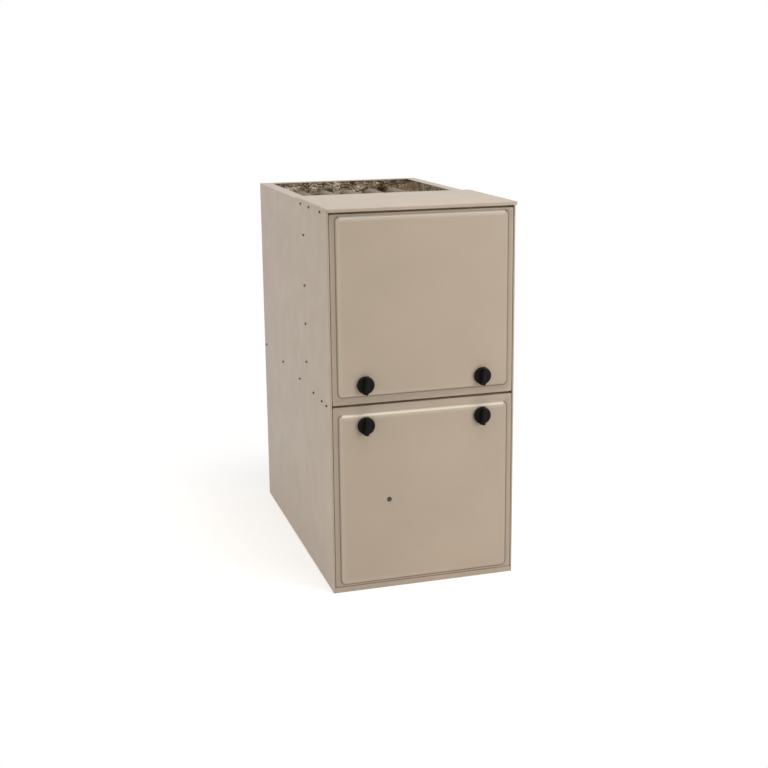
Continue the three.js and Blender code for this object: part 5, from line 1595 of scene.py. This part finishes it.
# ---- The controls ----
# A galvanised bracket hung from the deck carries the circuit board on posts, the transformer and
# the motor's run capacitor in its strap. The door switch stands behind the deck's front edge.
board_x = -95.0
board_z = 221.6
board_front = 91.1
board_back = 92.7
capacitor_place = (-145, 79.7, 0)
board_green = moulded("board_green", (34, 84, 56), 0.5)
dressed(galvanised, "control_bracket")
dressed(black_nylon, "door_switch")
board_shape = bmesh.new()
rounded_block(board_shape, (board_x - 80, board_x + 80), (board_front, board_back),
              (board_z - 60, board_z + 60), corner=3, edge=0.2)
board_posts = [(board_x + sx * 72, board_z + sz * 52) for sx in (-1, 1) for sz in (-1, 1)]
for x, z in board_posts:
    lathe(board_shape, [(3, board_back - 0.1), (3, 99.7)], (x, 0, z), count=20)
finished("circuit_board", board_shape, board_green, "cabinet", "board_green", "control_board")
parts_shape = bmesh.new()
for i in range(3):
    x = board_x + 30 * i
    rounded_block(parts_shape, (x - 11, x + 11), (board_front - 18, board_front),
                  (board_z + 16, board_z + 44), corner=1.2, edge=0.6)
for x, z, width, height, rise in ((-52, 44, 36, 12, 12), (10, -48, 110, 12, 10), (-60, -12, 14, 26, 14),
                                  (28, -14, 18, 18, 3), (58, -14, 12, 20, 3)):
    rounded_block(parts_shape, (board_x + x - width / 2, board_x + x + width / 2),
                  (board_front - rise, board_front), (board_z + z - height / 2, board_z + z + height / 2),
                  corner=1.0, edge=0.5)
finished("board_relays", parts_shape, black_nylon, "cabinet", "black_plastic")
small_shape = bmesh.new()
for x, z, radius, rise in ((-30, -20, 5, 12), (-16, -20, 4, 9), (-30, 2, 4, 9)):
    lathe(small_shape, [(radius, 0), (radius, -rise + 0.8), (radius - 0.8, -rise), (0.3, -rise)],
          (board_x + x, board_front, board_z + z), count=24)
for i in range(7):
    lathe(small_shape, [(0.3, -5), (1.6, -5), (2, -4), (1.7, 0), (2, 4), (1.6, 5), (0.3, 5)],
          (board_x + 4 + 8 * i, board_front - 2.4, board_z + 5), axis="z", count=14)
finished("board_small_parts", small_shape, ceramic, "cabinet", "ceramic")
lamp_shape = bmesh.new()
lathe(lamp_shape, [(2.5, 0), (2.5, -6.5), (2.1, -8), (1.1, -8.9), (0.3, -9)],
      (sight_x, board_front, sight_z), count=20)
finished("board_lamp", lamp_shape, red_plastic, "cabinet", "red_plastic")
tab_spots = [(board_x - 40 + 11 * i, board_front - 9.8, board_z - 48, "front") for i in range(10)]
tab_spots += [(board_x - 66 + 9 * i, board_front - 11.8, board_z + 44, "front") for i in range(4)]
spade_tabs("board_terminals", tab_spots, height=6.0)
core_shape = bmesh.new()
core_rows = []
for i in range(41):
    inset = 0.35 * (i % 2)
    outline = rounded_loop(-55 + inset, 5 - inset, 328 + inset, 372 - inset, [0.8] * 4, steps=2, hold=0.1)
    core_rows.append(upright(outline, 56 + i))
loft(core_shape, core_rows, closed=True, cap_start=True, cap_end=True)
rounded_block(core_shape, (-65, 15), (95.9, 99.7), (338, 362), corner=3, edge=0.8)
finished("transformer_core", core_shape, dark_enamel, "cabinet", "dark_enamel", "transformer", sharp=25)
coil_shape = bmesh.new()
rounded_block(coil_shape, (-43, -7), (52, 99.7), (320, 380), corner=6, edge=3.0)
for z in (326, 374):
    rounded_block(coil_shape, (-45, -5), (51, 99.6), (z - 1, z + 1), corner=1, edge=0.3)
finished("transformer_coil", coil_shape, black_nylon, "cabinet", "black_plastic")
capacitor_can = [(0.3, 300), (18.6, 300), (20, 301.4), (20, 376), (20.6, 377), (20.6, 379), (19, 380),
                 (17.4, 377.6), (0.3, 377.6)]
turned_piece("capacitor_can", "capacitor", "aluminised_steel", aluminised_steel, capacitor_can,
             capacitor_place, axis="z", count=48)
strap_shape = bmesh.new()
closed_lathe(strap_shape, [(20.1, 334), (20.9, 334), (20.9, 346), (20.1, 346)], capacitor_place, axis="z",
             count=48)
finished("capacitor_strap", strap_shape, galvanised, "cabinet", "galvanised_steel")
spade_tabs("capacitor_terminals", [(x, y, 377, "up") for x in (-151, -139) for y in (76, 83)], height=10.0)
control_spots = [((x, 97.4, 350), toward_front) for x in (-60, 10)]
control_spots += [((x, board_front - screw_stand, z), toward_front) for x, z in board_posts]
screws("control_screws", "cabinet", control_spots)

# ---- The door liners ----
# Boards of glass wool with the same foil, cut to each door's pan and glued in, with holes for the
# latches' shafts. The foil is puckered between its glue lines.
liner_back = 11.3


def liner(name, body, node, low, high, holes):
    shape = bmesh.new()
    across, up = 60, round((high - low) / 7)
    rows = []
    for j in range(up + 1):
        z = low + 1.3 + (high - low - 2.6) * j / up
        row = []
        for i in range(across + 1):
            x = (door_half - 1.3) * (2 * i / across - 1)
            rim = min(1.0, min(i, across - i, j, up - j) / 2.0)
            at = Vector((x * 0.03, z * 0.03, 3.7))
            cells = noise.voronoi(at)[0]
            pucker = rim * (1.5 - 1.6 * (cells[1] - cells[0]) + 0.5 * noise.noise(at * 3))
            row.append(metres(x, liner_back - max(pucker, 0.0), z))
        rows.append(row)
    loft(shape, rows)
    piece = make_piece(name, shape, crumpled_foil, wall=0.0092, sharp=25)
    bored(piece, holes)
    return fit(piece, body, "foil_faced_blanket", node)


liner("upper_liner_board", "upper_door", "upper_door_liner", *upper_span, latch_holes("upper", 9.0))
liner("lower_liner_board", "lower_door", "lower_door_liner", *lower_span,
      latch_holes("lower", 9.0) + [(sight_x, sight_z, 8.4)])
